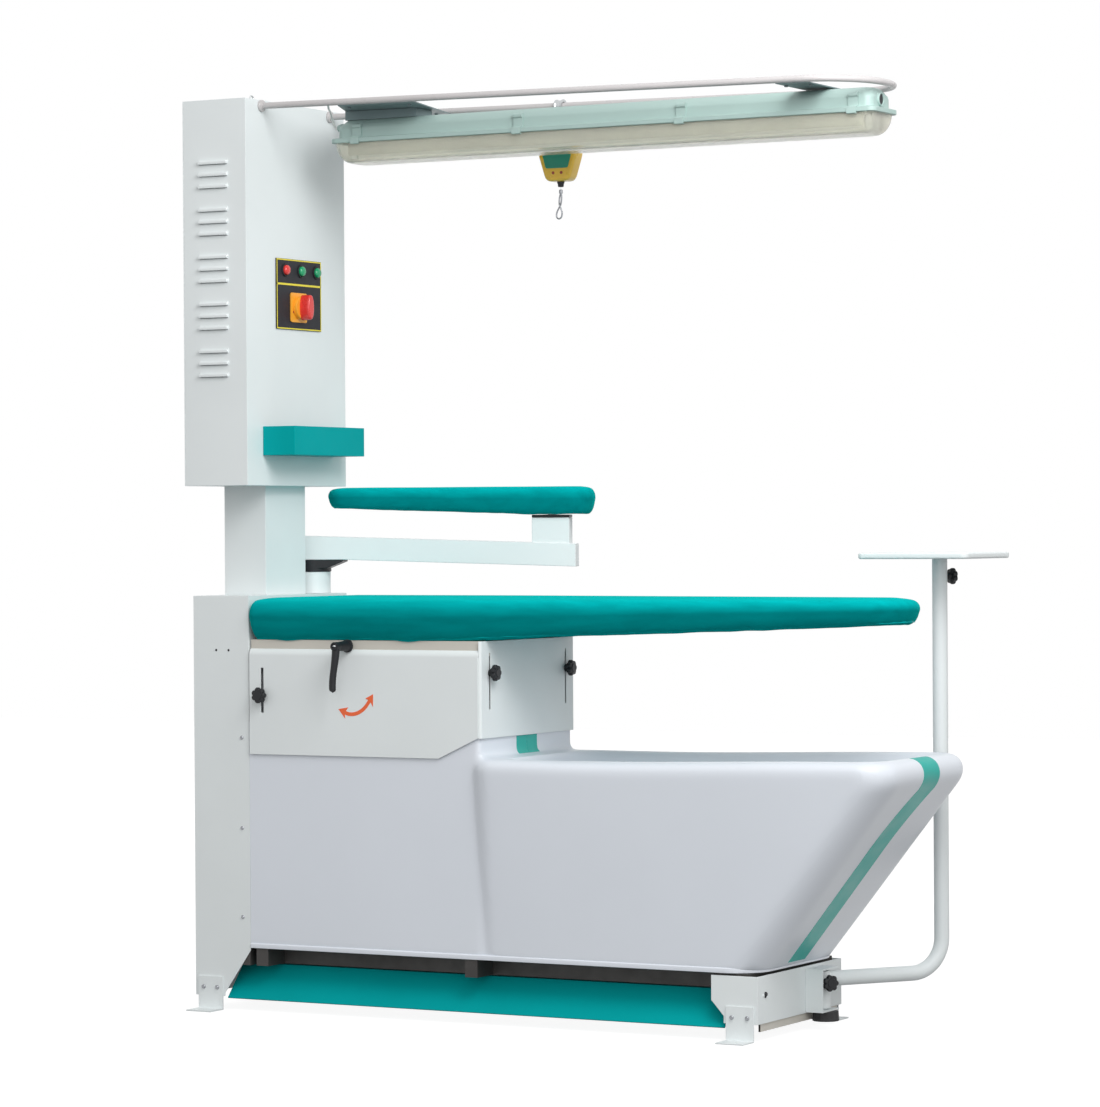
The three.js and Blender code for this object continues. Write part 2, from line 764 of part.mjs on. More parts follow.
function fanHousing() {
  const outer = scroll(fan.wall, [fan.y0, fan.y1]);
  const inner = scroll(0, [fan.y0 + fan.wall, fan.y1 - fan.wall]);
  const inletY = [fan.y0 - cutOver, fan.y0 + fan.wall + cutOver];
  const inlet = rod("y", [fan.x, fan.z], ...inletY, fanInlet, roundSides);
  const back = rod("y", [fan.x, fan.z], fan.y1 - fan.wall - cutOver, fan.y1 + cutOver, hubRadius);
  return part("fan_housing", cutBy(outer, [inner, inlet, back]), galvanised);
}

function fanImpeller() {
  const back = fan.y1 - fan.wall - impellerSide;
  const front = fan.y0 + fan.wall + impellerSide;
  const plate = rod("y", [fan.x, fan.z], back - impellerPlate, back, impellerRadius, roundSides);
  const eyeY = [front - cutOver, front + impellerPlate + cutOver];
  const eye = rod("y", [fan.x, fan.z], ...eyeY, impellerEye, roundSides);
  const full = rod("y", [fan.x, fan.z], front, front + impellerPlate, impellerRadius, roundSides);
  const ring = full.subtract(eye);
  const hub = rod("y", [fan.x, fan.z], back - hubLength, back, hubRadius);
  const bore = rod("y", [fan.x, fan.z], back - hubLength - cutOver, back + cutOver, shaftRadius + seatGap);
  const blades = Array.from({ length: bladeCount }, (_, i) => {
    const turn = (2 * Math.PI * i) / bladeCount;
    const along = (radius, lean) => [
      fan.x + radius * Math.cos(turn + lean),
      fan.z + radius * Math.sin(turn + lean),
    ];
    const root = impellerEye + bladeThickness;
    const tip = impellerRadius - bladeThickness;
    const thick = (radius) => bladeThickness / radius;
    const outline = [
      along(root, 0),
      along(tip, -bladeLean),
      along(tip, -bladeLean + thick(tip)),
      along(root, thick(root)),
    ];
    return prism("y", outline, front + cutOver, back - cutOver);
  });
  return part("fan_impeller", joined([plate, ring, hub, ...blades]).subtract(bore), galvanised);
}

function fanMotor() {
  const start = fan.y1 + seatGap;
  const can = rod("y", [fan.x, fan.z], start, start + motorLength, motorRadius, roundSides);
  const fins = Array.from({ length: motorFins }, (_, i) => {
    const a = radians(90) + ((i - (motorFins - 1) / 2) * Math.PI) / motorFins;
    const reach = motorRadius + motorFinDepth;
    const [x, z] = [fan.x + reach * Math.cos(a), fan.z + reach * Math.sin(a)];
    return prism("y", [
      [fan.x - motorFinDepth / 2, fan.z],
      [fan.x + motorFinDepth / 2, fan.z],
      [x + motorFinDepth / 2, z],
      [x - motorFinDepth / 2, z],
    ], start + motorFinDepth, start + motorLength - motorFinDepth);
  });
  const shaftTip = fan.y1 - fan.wall - impellerSide - hubLength / 2;
  const shaft = rod("y", [fan.x, fan.z], shaftTip, start + cutOver, shaftRadius);
  const half = motorFootWidth / 2;
  const benchTop = frameBottom + frameBar + fanBench.thickness + seatGap;
  const stand = block(
    [fan.x - half, fan.x + half],
    [start + motorFinDepth, start + motorLength - motorFinDepth],
    [benchTop, fan.z - motorRadius / 2],
  );
  return part("fan_motor", joined([can, shaft, stand, ...fins]), galvanised);
}

function suctionDuct() {
  const y1 = fan.y0 - seatGap;
  const x = [ductBox.x0, ductBox.x1];
  const box = shellBox(x, [ductBox.y0, y1], [ductBox.z0, ductBox.z1], sheet, { top: true });
  const mouth = rod("y", [fan.x, fan.z], y1 - sheet - cutOver, y1 + cutOver, fanInlet, roundSides);
  return part("suction_duct", box.subtract(mouth), galvanised);
}

// Fixed tower inside the skirts: the clamp knobs screw into its walls, and a notch clears the damper's shaft
function supportTower() {
  const x = [towerInset, towerRight];
  const y = [towerInset, baseDepth - towerInset];
  const walls = shellBox(x, y, [towerBottom, towerTop], sheet, { top: true, bottom: true });
  const flange = shellBox(x, y, [towerBottom, towerBottom + sheet], towerFlange, { top: true, bottom: true });
  const sideHole = rod("y", [skirtSlot.x, sideKnobHeight], 0, baseDepth, studRadius + seatGap, screwSides);
  const endWall = [towerRight - sheet - cutOver, towerRight + cutOver];
  const endHoles = endKnobPlaces().map((yAt) =>
    rod("x", [yAt, endKnobHeight], ...endWall, studRadius + seatGap, screwSides),
  );
  const notchHalf = damper.shaft + runningGap * 2;
  const notch = block(
    [damper.x - notchHalf, damper.x + notchHalf],
    [towerInset - cutOver, towerInset + sheet + cutOver],
    [damper.z - boardDrop - notchHalf, towerTop + cutOver],
  );
  return part("support_tower", cutBy(joined([walls, flange]), [sideHole, ...endHoles, notch]), galvanised);
}

function endKnobPlaces() {
  return [endSlot.inset, baseDepth - endSlot.inset];
}

// Air box under the board with the sleeve that slides in the duct
function plenum() {
  const y = [plenumInset, baseDepth - plenumInset];
  const top = boardUnderside - seatGap;
  const tray = shellBox([plenumInset, plenumRight], y, [plenumBottom, top], sheet, { bottom: true });
  const outer = sleeveOuter();
  const pipe = block(outer.x, outer.y, [sleeveBottom, top]);
  const hollow = block(
    [outer.x[0] + sheet, outer.x[1] - sheet],
    [outer.y[0] + sheet, outer.y[1] - sheet],
    [sleeveBottom - cutOver, top + cutOver],
  );
  const bearing = rod("y", [damper.x, damper.z], 0, outer.y[1] + cutOver, damper.shaft + runningGap);
  return part("plenum", cutBy(joined([tray, pipe]), [hollow, bearing]), cream);
}

function sleeveOuter() {
  const inset = sheet + sleeveGap;
  return {
    x: [ductBox.x0 + inset, ductBox.x1 - inset],
    y: [ductBox.y0 + inset, fan.y0 - seatGap - inset],
  };
}

// Long side skirt: flat plate, rolled top edge that meets the plenum, chamfered end and one slot
function sideSkirt(name, back) {
  const outside = -skirtGap - sheet;
  const centre = outside + skirtBendRadius;
  const top = 180 - skirtBendAngle;
  const outline = [
    [outside, skirtBottom],
    [outside + sheet, skirtBottom],
    ...arc(centre, skirtBendStart, skirtBendRadius - sheet, 180, top, skirtBendSteps),
    ...arc(centre, skirtBendStart, skirtBendRadius, top, 180, skirtBendSteps),
  ];
  const left = plenumInset;
  const corner = [
    [skirtRight + cutOver, skirtBottom - cutOver],
    [skirtRight + cutOver, skirtBottom + skirtChamferRise],
    [skirtRight, skirtBottom + skirtChamferRise],
    [skirtRight - skirtChamferRun, skirtBottom],
    [skirtRight - skirtChamferRun, skirtBottom - cutOver],
  ];
  const half = skirtSlot.width / 2;
  const slot = block(
    [skirtSlot.x - half, skirtSlot.x + half],
    [outside - cutOver, cutOver],
    [skirtSlot.z0, skirtSlot.z1],
  );
  const cuts = [prism("y", corner, outside - cutOver, cutOver), slot];
  const plate = cutBy(prism("x", outline, left, skirtRight), cuts);
  const placed = back ? plate.mirror([0, 1, 0]).translate([0, baseDepth, 0]) : plate;
  return part(name, placed, white);
}

function endSkirt() {
  const near = -skirtGap + seatGap;
  const far = baseDepth - near;
  const r = endBendRadius;
  const start = endFace - endReturn;
  const plan = [
    [start, near],
    ...arc(endFace - r, near + r, r, -90, 0, cornerSteps),
    ...arc(endFace - r, far - r, r, 0, 90, cornerSteps),
    [start, far],
    [start, far - sheet],
    ...arc(endFace - r, far - r, r - sheet, 90, 0, cornerSteps),
    ...arc(endFace - r, near + r, r - sheet, 0, -90, cornerSteps),
    [start, near + sheet],
  ];
  const slots = endKnobPlaces().map((y) =>
    block(
      [endFace - sheet - cutOver, endFace + cutOver],
      [y - endSlot.width / 2, y + endSlot.width / 2],
      [endSlot.z0, endSlot.z1],
    ),
  );
  const returnsTop = block(
    [start - cutOver, skirtRight + seatGap],
    [near - cutOver, far + cutOver],
    [skirtBendStart - seatGap, boardUnderside],
  );
  const body = cutBy(prism("z", plan, endBottom, boardUnderside - seatGap), [returnsTop, ...slots]);
  return part("skirt_end", body, white);
}

// Star knob with its stud, pointing along +Z from the plate that it clamps
function starKnob(name, stud) {
  const outline = Array.from({ length: knobPoints }, (_, i) => {
    const a = (2 * Math.PI * i) / knobPoints;
    const r = knobRadius * (1 - lobeShare + lobeShare * Math.cos(knobLobes * a));
    return [r * Math.cos(a), r * Math.sin(a)];
  });
  const head = prism("z", outline, knobNeck, knobNeck + knobHead);
  const neck = rod("z", [0, 0], 0, knobNeck + cutOver, knobNeckRadius);
  const capTop = knobNeck + knobHead + knobCap;
  const capFoot = knobNeck + knobHead - cutOver;
  const cap = rod("z", [0, 0], capFoot, capTop, knobNeckRadius + knobCap, smallSides, knobNeckRadius);
  const shank = rod("z", [0, 0], -stud, cutOver, studRadius, screwSides);
  return part(name, joined([head, neck, cap, shank]), black);
}

function turned(mesh, x, y, z, rx, ry, rz) {
  mesh.position.set(x, y, z);
  mesh.rotation.set(radians(rx), radians(ry), radians(rz));
  return mesh;
}

function skirtKnobs() {
  const sideStud = towerInset + sheet + skirtGap + sheet;
  const sideFace = -skirtGap - sheet - seatGap;
  const endStud = endFace + seatGap - towerRight + sheet;
  const places = endKnobPlaces();
  const front = starKnob("knob_front", sideStud);
  const rear = starKnob("knob_rear", sideStud);
  const nearEnd = starKnob("knob_end_front", endStud);
  const farEnd = starKnob("knob_end_rear", endStud);
  return [
    turned(front, skirtSlot.x, sideFace, sideKnobHeight, 90, 0, 0),
    turned(rear, skirtSlot.x, baseDepth - sideFace, sideKnobHeight, -90, 0, 0),
    turned(nearEnd, endFace + seatGap, places[0], endKnobHeight, 0, 90, 0),
    turned(farEnd, endFace + seatGap, places[1], endKnobHeight, 0, 90, 0),
  ];
}

function damperFlap() {
  const sleeveY = sleeveOuter().y;
  const front = -leverReach + leverHead / 2;
  const back = sleeveY[1] + cutOver / 2;
  const shaft = rod("y", [damper.x, damper.z], front, back, damper.shaft);
  const flap = block(
    [damper.x - damper.reach, damper.x],
    [sleeveY[0] + sheet + runningGap * 2, sleeveY[1] - sheet - runningGap * 2],
    [damper.z - damper.thickness / 2, damper.z + damper.thickness / 2],
  );
  return part("damper_flap", joined([shaft, flap]), steel);
}

// Clamping lever: boss on the shaft and a curved, tapering handle that hangs down
function damperLever() {
  const face = -skirtGap - sheet - runningGap;
  const axis = [damper.x, damper.z];
  const front = -leverReach + leverHead / 2;
  const boss = rod("y", axis, front, face, leverBoss.tip, roundSides, leverBoss.root)
    .add(rod("y", axis, face - leverBoss.discDepth, face, leverBoss.disc, roundSides));
  const head = rod("y", axis, -leverReach, -leverReach + leverHead, leverHeadRadius, roundSides);
  const rings = Array.from({ length: leverSteps + 1 }, (_, i) => {
    const share = 1 - i / leverSteps;
    const z = damper.z - leverHandle * share;
    const x = damper.x - leverBend * Math.sin(Math.PI * share * leverBendShare) * share;
    const upper = leverRoot + (leverWaist - leverRoot) * share * 2;
    const lower = leverWaist + (leverTip - leverWaist) * (share * 2 - 1);
    const full = share * 2 < 1 ? upper : lower;
    const r = share === 1 ? leverTip / 2 : full;
    return roundedRing(x - r, x + r, front - r, front + r, r, z, 2);
  });
  const bore = rod("y", axis, front - cutOver, face + cutOver, damper.shaft + seatGap);
  return part("damper_lever", joined([boss, head, loft(rings)]).subtract(bore), black);
}

// Plan of a padded board: square heel, straight run, taper and round nose, as offsets from its axis
function boardPlan(b, inset) {
  const heel = b.heel + inset;
  const tip = b.tip - inset;
  const half = b.half - inset;
  const noseHalf = b.noseHalf - inset;
  const nose = b.nose - inset * noseInsetShare;
  const corner = Math.max(b.corner - inset, b.corner / 5);
  const straight = b.taperStart;
  const side = [
    ...arc(heel + corner, -half + corner, corner, 180, 270, cornerSteps),
    [(heel + corner + straight) / 2, -half],
    [straight, -half],
    [(straight + tip - nose) / 2, -(half + noseHalf) / 2],
  ];
  const end = Array.from({ length: cornerSteps + 1 }, (_, i) => {
    const a = radians(-90 + (90 * i) / cornerSteps);
    return [tip - nose + nose * Math.cos(a), noseHalf * Math.sin(a)];
  });
  return [...side, ...end];
}

function boardRing(b, inset, heightAt) {
  const near = boardPlan(b, inset);
  const far = near.slice(0, -1).reverse().map(([x, y]) => [x, -y]);
  return [...near, ...far].map(([x, y]) => point(x, b.axis + y, heightAt(x)));
}

// Closes stacked board rings with strips between the near and the far side
function boardLoft(rings) {
  const count = rings[0].length;
  const points = rings.flat();
  const faces = [];
  for (let r = 0; r + 1 < rings.length; r++) {
    for (let i = 0; i < count; i++) {
      const next = (i + 1) % count;
      const low = r * count;
      const high = low + count;
      faces.push(low + i, low + next, high + next, low + i, high + next, high + i);
    }
  }
  const top = (rings.length - 1) * count;
  for (let i = 0; i < (count - 1) / 2; i++) {
    const a = i;
    const c = count - 1 - i;
    const b = i + 1;
    const d = c - 1;
    faces.push(a, c, b, top + a, top + b, top + c);
    if (b !== d) faces.push(b, c, d, top + b, top + d, top + c);
  }
  return solid(skin(points, faces));
}

function boardLow(b) {
  return (x) => b.bottom + b.rise * Math.max(0, (x - b.taperStart) / (b.tip - b.taperStart));
}

// Padded cover: rolled edges, slightly full sides, crowned top, drawn under the pan
function paddedCover(b) {
  const low = boardLow(b);
  const at = (share) => (x) => low(x) + (b.top - low(x)) * share;
  const over = b.edge * 2;
  return boardLoft([
    boardRing(b, over, low),
    ...coverShares.map((share) => boardRing(b, b.edge * share.inset, at(share.height))),
    boardRing(b, over, () => b.top),
    boardRing(b, over * 2, () => b.top + b.crown),
  ]);
}

function panSolid(b, grow) {
  const low = boardLow(b);
  return boardLoft([
    boardRing(b, b.pan - grow, (x) => low(x) + b.wrap + seatGap - grow),
    boardRing(b, b.pan - grow, () => b.top - b.pad - seatGap + grow),
  ]);
}

const board = {
  heel: boardLeft,
  tip: boardTip,
  half: boardHalf,
  noseHalf: boardNoseHalf,
  nose: boardNose,
  corner: boardCorner,
  taperStart: boardTaperStart,
  bottom: boardUnderside,
  rise: boardRise,
  top: boardTop,
  crown: boardCrown,
  axis: baseDepth / 2,
  edge: coverEdge,
  pan: coverEdge,
  pad: padThickness,
  wrap: coverWrap,
};

function boardCover() {
  const low = boardLow(board);
  const opening = boardLoft([
    boardRing(board, coverBand, (x) => low(x) - cutOver),
    boardRing(board, coverBand, (x) => low(x) + coverWrap + cutOver),
  ]);
  return part("board_cover", cutBy(paddedCover(board), [panSolid(board, seatGap), opening]), cloth);
}

function boardPan() {
  const hollow = panSolid(board, -panSheet);
  const outer = sleeveOuter();
  const mouth = block(outer.x, outer.y, [boardUnderside, boardUnderside + coverWrap + panSheet * 3]);
  const slots = [];
  const top = boardTop - padThickness;
  for (let x = boardLeft + gridSlot.length; x < boardTip - boardNose; x += gridSlot.pitch) {
    const room = x < boardTaperStart ? 1 : 1 - (x - boardTaperStart) / (boardTip - boardTaperStart) / 2;
    for (const row of room > slotRoomShare ? [-1, 0, 1] : [0]) {
      const y = board.axis + row * gridSlot.rowPitch;
      slots.push(block(
        [x, x + gridSlot.length],
        [y - gridSlot.width / 2, y + gridSlot.width / 2],
        [top - panSheet * 3, top],
      ));
    }
  }
  return part("board_pan", cutBy(panSolid(board, 0), [hollow, mouth, ...slots]), steel);
}

// Full-length pedal: folded ramp with ribs that hang it on the axle
function pedal() {
  const back = pedalFront + pedalRun;
  const slope = Math.hypot(pedalRun, pedalHigh - pedalLow);
  const inY = (pedalSheet * (pedalHigh - pedalLow)) / slope;
  const inZ = (pedalSheet * pedalRun) / slope;
  const fold = pedalHigh - pedalSheet;
  const foldY = pedalFront + inY + (pedalRun * (fold - pedalLow + inZ)) / (pedalHigh - pedalLow);
  const outline = [
    [pedalFront, pedalLow],
    [pedalFront + inY, pedalLow - inZ],
    [foldY, fold],
    [back + pedalFlange, fold],
    [back + pedalFlange, pedalHigh],
    [back, pedalHigh],
  ];
  const sheetBody = prism("x", outline, pedalLeft, pedalRight);
  const length = pedalRight - pedalLeft;
  const plainRibs = pedalRibShares.map((share) => pedalLeft + length * share);
  const ribs = [footSwitch.x, ...plainRibs].map((x) => {
    const tail = x === footSwitch.x ? pedalTail : pedalAxle.y + pedalBoss;
    const rib = [
      [pedalFront + pedalRun / 4 + inY, pedalLow + pedalRun / 4],
      [foldY - pedalSheet, fold - pedalSheet],
      [foldY, fold + cutOver],
      [back + pedalFlange - pedalSheet, fold + cutOver],
      [pedalAxle.y, pedalAxle.z + pedalBoss],
      [tail, pedalAxle.z + pedalBoss / 2],
      [tail, pedalAxle.z - pedalBoss / 2],
      [pedalAxle.y, pedalAxle.z - pedalBoss],
    ];
    return prism("x", rib.reverse(), x - pedalRibWidth / 2, x + pedalRibWidth / 2);
  });
  const bore = rod(
    "x",
    [pedalAxle.y, pedalAxle.z],
    pedalLeft,
    pedalRight,
    pedalAxle.radius + runningGap,
  );
  return part("pedal", joined([sheetBody, ...ribs]).subtract(bore), teal);
}

// Torsion spring wound on the axle beside its middle lug
function pedalSpring() {
  const radius = pedalAxle.radius + springWire + runningGap * 2;
  const turn = (i) => (2 * Math.PI * i) / curlSteps;
  const helix = Array.from({ length: springTurns * curlSteps + 1 }, (_, i) =>
    point(
      springX + (springPitch * i) / curlSteps,
      pedalAxle.y + radius * Math.cos(turn(i)),
      pedalAxle.z + radius * Math.sin(turn(i)),
    ),
  );
  const first = helix[0].clone().add(point(0, 0, -springLeg));
  const last = helix[helix.length - 1].clone().add(point(0, 0, springLeg));
  const apart = helix.flatMap((a, i) => helix.slice(i + curlSteps / 2).map((b) => a.distanceTo(b)));
  const gap = Math.min(...apart) - springWire * 2;
  console.log(`pedal_spring: least gap to itself ${gap.toFixed(2)} mm`);
  return part("pedal_spring", tube([first, ...helix, last], springWire, curlSides), steel);
}

function footSwitchBox() {
  const f = footSwitch;
  const front = frameRailInset + frameBar + seatGap;
  const top = frameBottom + frameBar;
  const foot = top - f.height;
  const box = block([f.x - f.width / 2, f.x + f.width / 2], [front, front + f.depth], [foot, top]);
  const at = pedalAxle.y + f.reach;
  const plunger = rod("z", [f.x, at], foot - f.drop, foot + cutOver, f.plunger, screwSides);
  const bridge = block(
    [f.x - f.width / 4, f.x + f.width / 4],
    [front + f.depth - cutOver, at + f.plunger],
    [foot, top],
  );
  return part("foot_switch", joined([box, bridge, plunger]), black);
}

// Rectangular column whose head plate is the floor of the cabinet
function mastTube() {
  const x = [mast.x0, mast.x0 + mast.width];
  const y = [mast.y0, mast.y0 + mast.depth];
  const top = cabinet.bottom + mast.flange;
  const head = block(
    [-cabinet.width + sheet + seatGap, -sheet - seatGap],
    [sheet + seatGap, baseDepth - sheet - seatGap],
    [cabinet.bottom, top],
  );
  const bore = block(
    [x[0] + mast.wall, x[1] - mast.wall],
    [y[0] + mast.wall, y[1] - mast.wall],
    [mast.foot - cutOver, top + cutOver],
  );
  return part("mast", joined([block(x, y, [mast.foot, top]), head]).subtract(bore), white);
}

// Pressed louvre: a hood that is open below, with a slit through the wall behind it
function louvreHood(z) {
  const x0 = louvre.x;
  const x1 = louvre.x + louvre.length;
  const low = z - louvreHeight / 2;
  const high = z + louvreHeight / 2;
  const hood = prism("x", [[sheet / 2, high], [-louvreProud, low], [sheet / 2, low]], x0, x1);
  const hollow = prism(
    "x",
    [
      [sheet + cutOver, high - louvreSkin * 3],
      [0, high - louvreSkin * 3],
      [-louvreProud + louvreSkin, low - cutOver],
      [sheet + cutOver, low - cutOver],
    ],
    x0 + louvreSkin,
    x1 - louvreSkin,
  );
  return { hood, hollow };
}

function cabinetShell() {
  const x = [-cabinet.width + sheet + seatGap, 0];
  const z = [cabinet.bottom, cabinet.top];
  const shell = shellBox(x, [0, baseDepth], z, sheet, { left: true, bottom: true });
  const rows = [];
  for (let g = 0; g < louvreGroups; g++) {
    for (let r = 0; r < louvreRows; r++) {
      rows.push(louvreHood(louvre.top - g * louvre.groupPitch - r * louvre.rowPitch));
    }
  }
  const window = block(
    [-sheet - cutOver, cutOver],
    [panel.y0 + panel.overlap, panel.y1 - panel.overlap],
    [panel.z0 + panel.overlap, panel.z1 - panel.overlap],
  );
  const body = joined([shell, ...rows.map((row) => row.hood)]);
  return part("cabinet_shell", cutBy(body, [window, ...rows.map((row) => row.hollow)]), white);
}

function cabinetDoor() {
  const x = [-cabinet.width, -cabinet.width + sheet];
  const door = block(x, [0, baseDepth], [cabinet.bottom, cabinet.top]);
  return part("cabinet_door", door, white);
}

function buttonPlaces() {
  return [0, 1, 2].map((i) => buttonRow.first + i * buttonRow.pitch);
}

function controlPanel() {
  const x = [seatGap, seatGap + panel.thickness];
  const plate = block(x, [panel.y0, panel.y1], [panel.z0, panel.z1]);
  const bezels = buttonPlaces().map((y) =>
    rod("x", [y, buttonRow.z], x[1] - cutOver, x[1] + buttonRow.rim, buttonRow.bezel, roundSides),
  );
  const holes = buttonPlaces().map((y) =>
    rod("x", [y, buttonRow.z], 0, x[1] + buttonRow.rim + cutOver, buttonRow.radius + runningGap),
  );
  const stem = rod("x", [switchBox.y, switchBox.z], 0, x[1] + cutOver, switchGrip.stem + runningGap);
  return part("control_panel", cutBy(joined([plate, ...bezels]), [...holes, stem]), black);
}

// Domed push button, drawn along +X
function pushButton(name, y, material) {
  const base = seatGap + panel.thickness + buttonRow.rim;
  const r = buttonRow.radius;
  const stem = rod("x", [0, 0], -buttonRow.stem, base, r, smallSides);
  const [shoulder, tip] = domeShares.map((share) => r * share);
  const middle = base + buttonRow.proud / 2;
  const dome = rod("x", [0, 0], base - cutOver / 2, middle, r, smallSides, shoulder);
  const crown = rod("x", [0, 0], middle, base + buttonRow.proud, shoulder, smallSides, tip);
  const button = part(name, joined([stem, dome, crown]), material);
  button.position.set(0, y, buttonRow.z);
  return button;
}

function switchPlate() {
  const x0 = seatGap * 2 + panel.thickness;
  const half = switchBox.side / 2;
  const plate = block(
    [x0, x0 + switchBox.thickness],
    [switchBox.y - half, switchBox.y + half],
    [switchBox.z - half, switchBox.z + half],
  );
  const top = x0 + switchBox.thickness;
  const hole = rod("x", [switchBox.y, switchBox.z], 0, top + cutOver, switchGrip.stem + runningGap);
  return part("switch_plate", plate.subtract(hole), yellow);
}

// Rotary handle of the main switch: dial, long oval grip and stem
function switchKnob() {
  const face = seatGap * 2 + panel.thickness + switchBox.thickness + runningGap;
  const dial = rod("x", [0, 0], face, face + switchBox.dialDepth, switchBox.dial, roundSides);
  const half = switchGrip.width / 2;
  const run = switchGrip.length / 2 - half;
  const grip = [...arc(0, run, half, 0, 180, cornerSteps), ...arc(0, -run, half, 180, 360, cornerSteps)];
  const handle = prism("x", grip, face + cutOver, face + switchBox.dialDepth + switchGrip.depth);
  const stem = rod("x", [0, 0], -buttonRow.stem, face + cutOver, switchGrip.stem);
  const knob = part("switch_knob", joined([dial, handle, stem]), red);
  knob.position.set(0, switchBox.y, switchBox.z);
  return knob;
}

function ironRest() {
  const x = [seatGap, rest.depth];
  const box = shellBox(x, [rest.y0, rest.y1], [rest.bottom, rest.top], rest.wall, { top: true });
  return part("iron_rest", box, teal);
}

function armPostBody() {
  const post = rod("z", [0, 0], columnHeight + seatGap, armPost.top, armPost.radius, roundSides);
  const pin = rod("z", [0, 0], armPost.top - cutOver, armPost.pinTop, armPost.pin);
  return part("arm_post", joined([post, pin]), white);
}

// Black turntable under the arm, with a tongue that tapers out below it
function armBearingBody() {
  const b = armBearing;
  const disc = rod("z", [0, 0], armPost.top + seatGap, b.top, b.radius, roundSides);
  const tongue = prism(
    "y",
    [
      [0, armPost.top + b.tongueHeight],
      [b.radius * tongueRootShare, armPost.top + b.tongueHeight],
      [b.tongue, b.top - b.tongueHeight / 2],
      [b.tongue, b.top],
      [0, b.top],
    ],
    -arm.width / 2,
    arm.width / 2,
  );
  const bore = rod("z", [0, 0], armPost.top - cutOver, b.top + cutOver, armPost.pin + runningGap);
  return part("arm_bearing", joined([disc, tongue]).subtract(bore), black);
}

function swingArm() {
  const outline = [
    [-arm.root, arm.bottom],
    [arm.sagStart, arm.bottom],
    [arm.end, arm.sagBottom],
    [arm.end, arm.sagTop],
    [-arm.root, arm.top],
  ];
  const beam = prism("y", outline, -arm.width / 2, arm.width / 2);
  const s = [upperPost.s - upperPost.length / 2, upperPost.s + upperPost.length / 2];
  const w = [-upperPost.width / 2, upperPost.width / 2];
  const post = block(s, w, [arm.sagTop - arm.root / 2, upperPost.top]);
  const pivot = rod("z", [0, 0], arm.bottom - cutOver, armPost.pinTop + cutOver, armPost.pin + runningGap);
  const socketFoot = upperPost.top - sleevePinDrop;
  const socketBore = rod("z", [upperPost.s, 0], socketFoot, upperPost.top + cutOver, sleevePin + runningGap);
  return part("swing_arm", cutBy(joined([beam, post]), [pivot, socketBore]), white);
}

function sleeveBearing() {
  const z = [upperPost.top + seatGap, sleeveBearingTop];
  const s = [upperPost.s - upperPost.length / 2, upperPost.s + upperPost.length / 2];
  const plate = block(s, [-upperPost.width / 2, upperPost.width / 2], z);
  const bore = rod("z", [upperPost.s, 0], z[0] - cutOver, z[1] + cutOver, sleevePin + runningGap);
  return part("sleeve_bearing", plate.subtract(bore), black);
}

const sleeveBoard = {
  heel: 0,
  tip: sleeve.length,
  half: sleeve.half,
  noseHalf: sleeve.noseHalf,
  nose: sleeve.nose,
  corner: sleeve.corner,
  taperStart: sleeve.taperStart,
  bottom: sleeveBottomZ,
  rise: sleeveRise,
  top: sleeveTop,
  crown: 0,
  axis: 0,
  edge: sleeveBand / 2,
  pan: sleeveBand,
  pad: sleevePad,
  wrap: coverWrap,
};

// The sleeve board runs from its heel over the upper post back towards the column
function sleeveParts() {
  const pivot = sleeve.heel - upperPost.s;
  const pinFoot = upperPost.top - sleevePinDrop + cutOver;
  const pinTop = sleeveBottomZ + coverWrap + sleevePad;
  const pin = rod("z", [pivot, 0], pinFoot, pinTop, sleevePin);
  const pan = part("sleeve_pan", joined([panSolid(sleeveBoard, 0), pin]), steel);
  const hole = rod("z", [pivot, 0], sleeveBottomZ - cutOver, pinTop, sleevePin + runningGap);
  const padded = cutBy(paddedCover(sleeveBoard), [panSolid(sleeveBoard, seatGap), hole]);
  const cover = part("sleeve_cover", padded, cloth);
  const made = group(sleeve.heel, 0, 0, [pan, cover]);
  made.rotation.z = Math.PI;
  return made;
}

// Bracket plate that lies across the rail's two legs, given by its ends on the near and the far leg
function acrossRail({ near, far }) {
  const high = -rail.tube + railPlate.thickness / 2;
  const corners = [
    [near[0], -rail.half],
    [near[1], -rail.half],
    [far[1], rail.half],
    [far[0], rail.half],
  ];
  return prism("z", corners, high - railPlate.thickness, high);
}

// Drawn in the rail's own frame: X along it, Z up from its tube
function railBody() {
  const route = bent(
    [
      point(seatGap, -rail.half, 0),
      point(rail.reach, -rail.half, 0),
      point(rail.reach, rail.half, 0),
      point(seatGap, rail.half, 0),
    ],
    rail.bend,
  );
  const loop = tube(route, rail.tube, smallSides);
  const flanges = [-rail.half, rail.half].map((y) =>
    rod("x", [y, 0], seatGap, rail.flangeDepth, rail.flange),
  );
  return part("rail", joined([loop, acrossRail(railPlate), acrossRail(railStrap), ...flanges]), white);
}

// Height of the underside of the rail's plates over a place along it, seen from the level lamp
function plateUnderside(x) {
  const sag = radians(railSag);
  const drop = rail.tube + railPlate.thickness / 2;
  return rail.z - x * Math.tan(sag) - drop / Math.cos(sag) - lamp.level;
}

// The lamp hangs level in its own frame, whose zero is its roof
function lampRing(z, endInset, half, corner) {
  return roundedRing(lamp.x0 + endInset, lamp.x1 - endInset, -half, half, corner, z, 2);
}

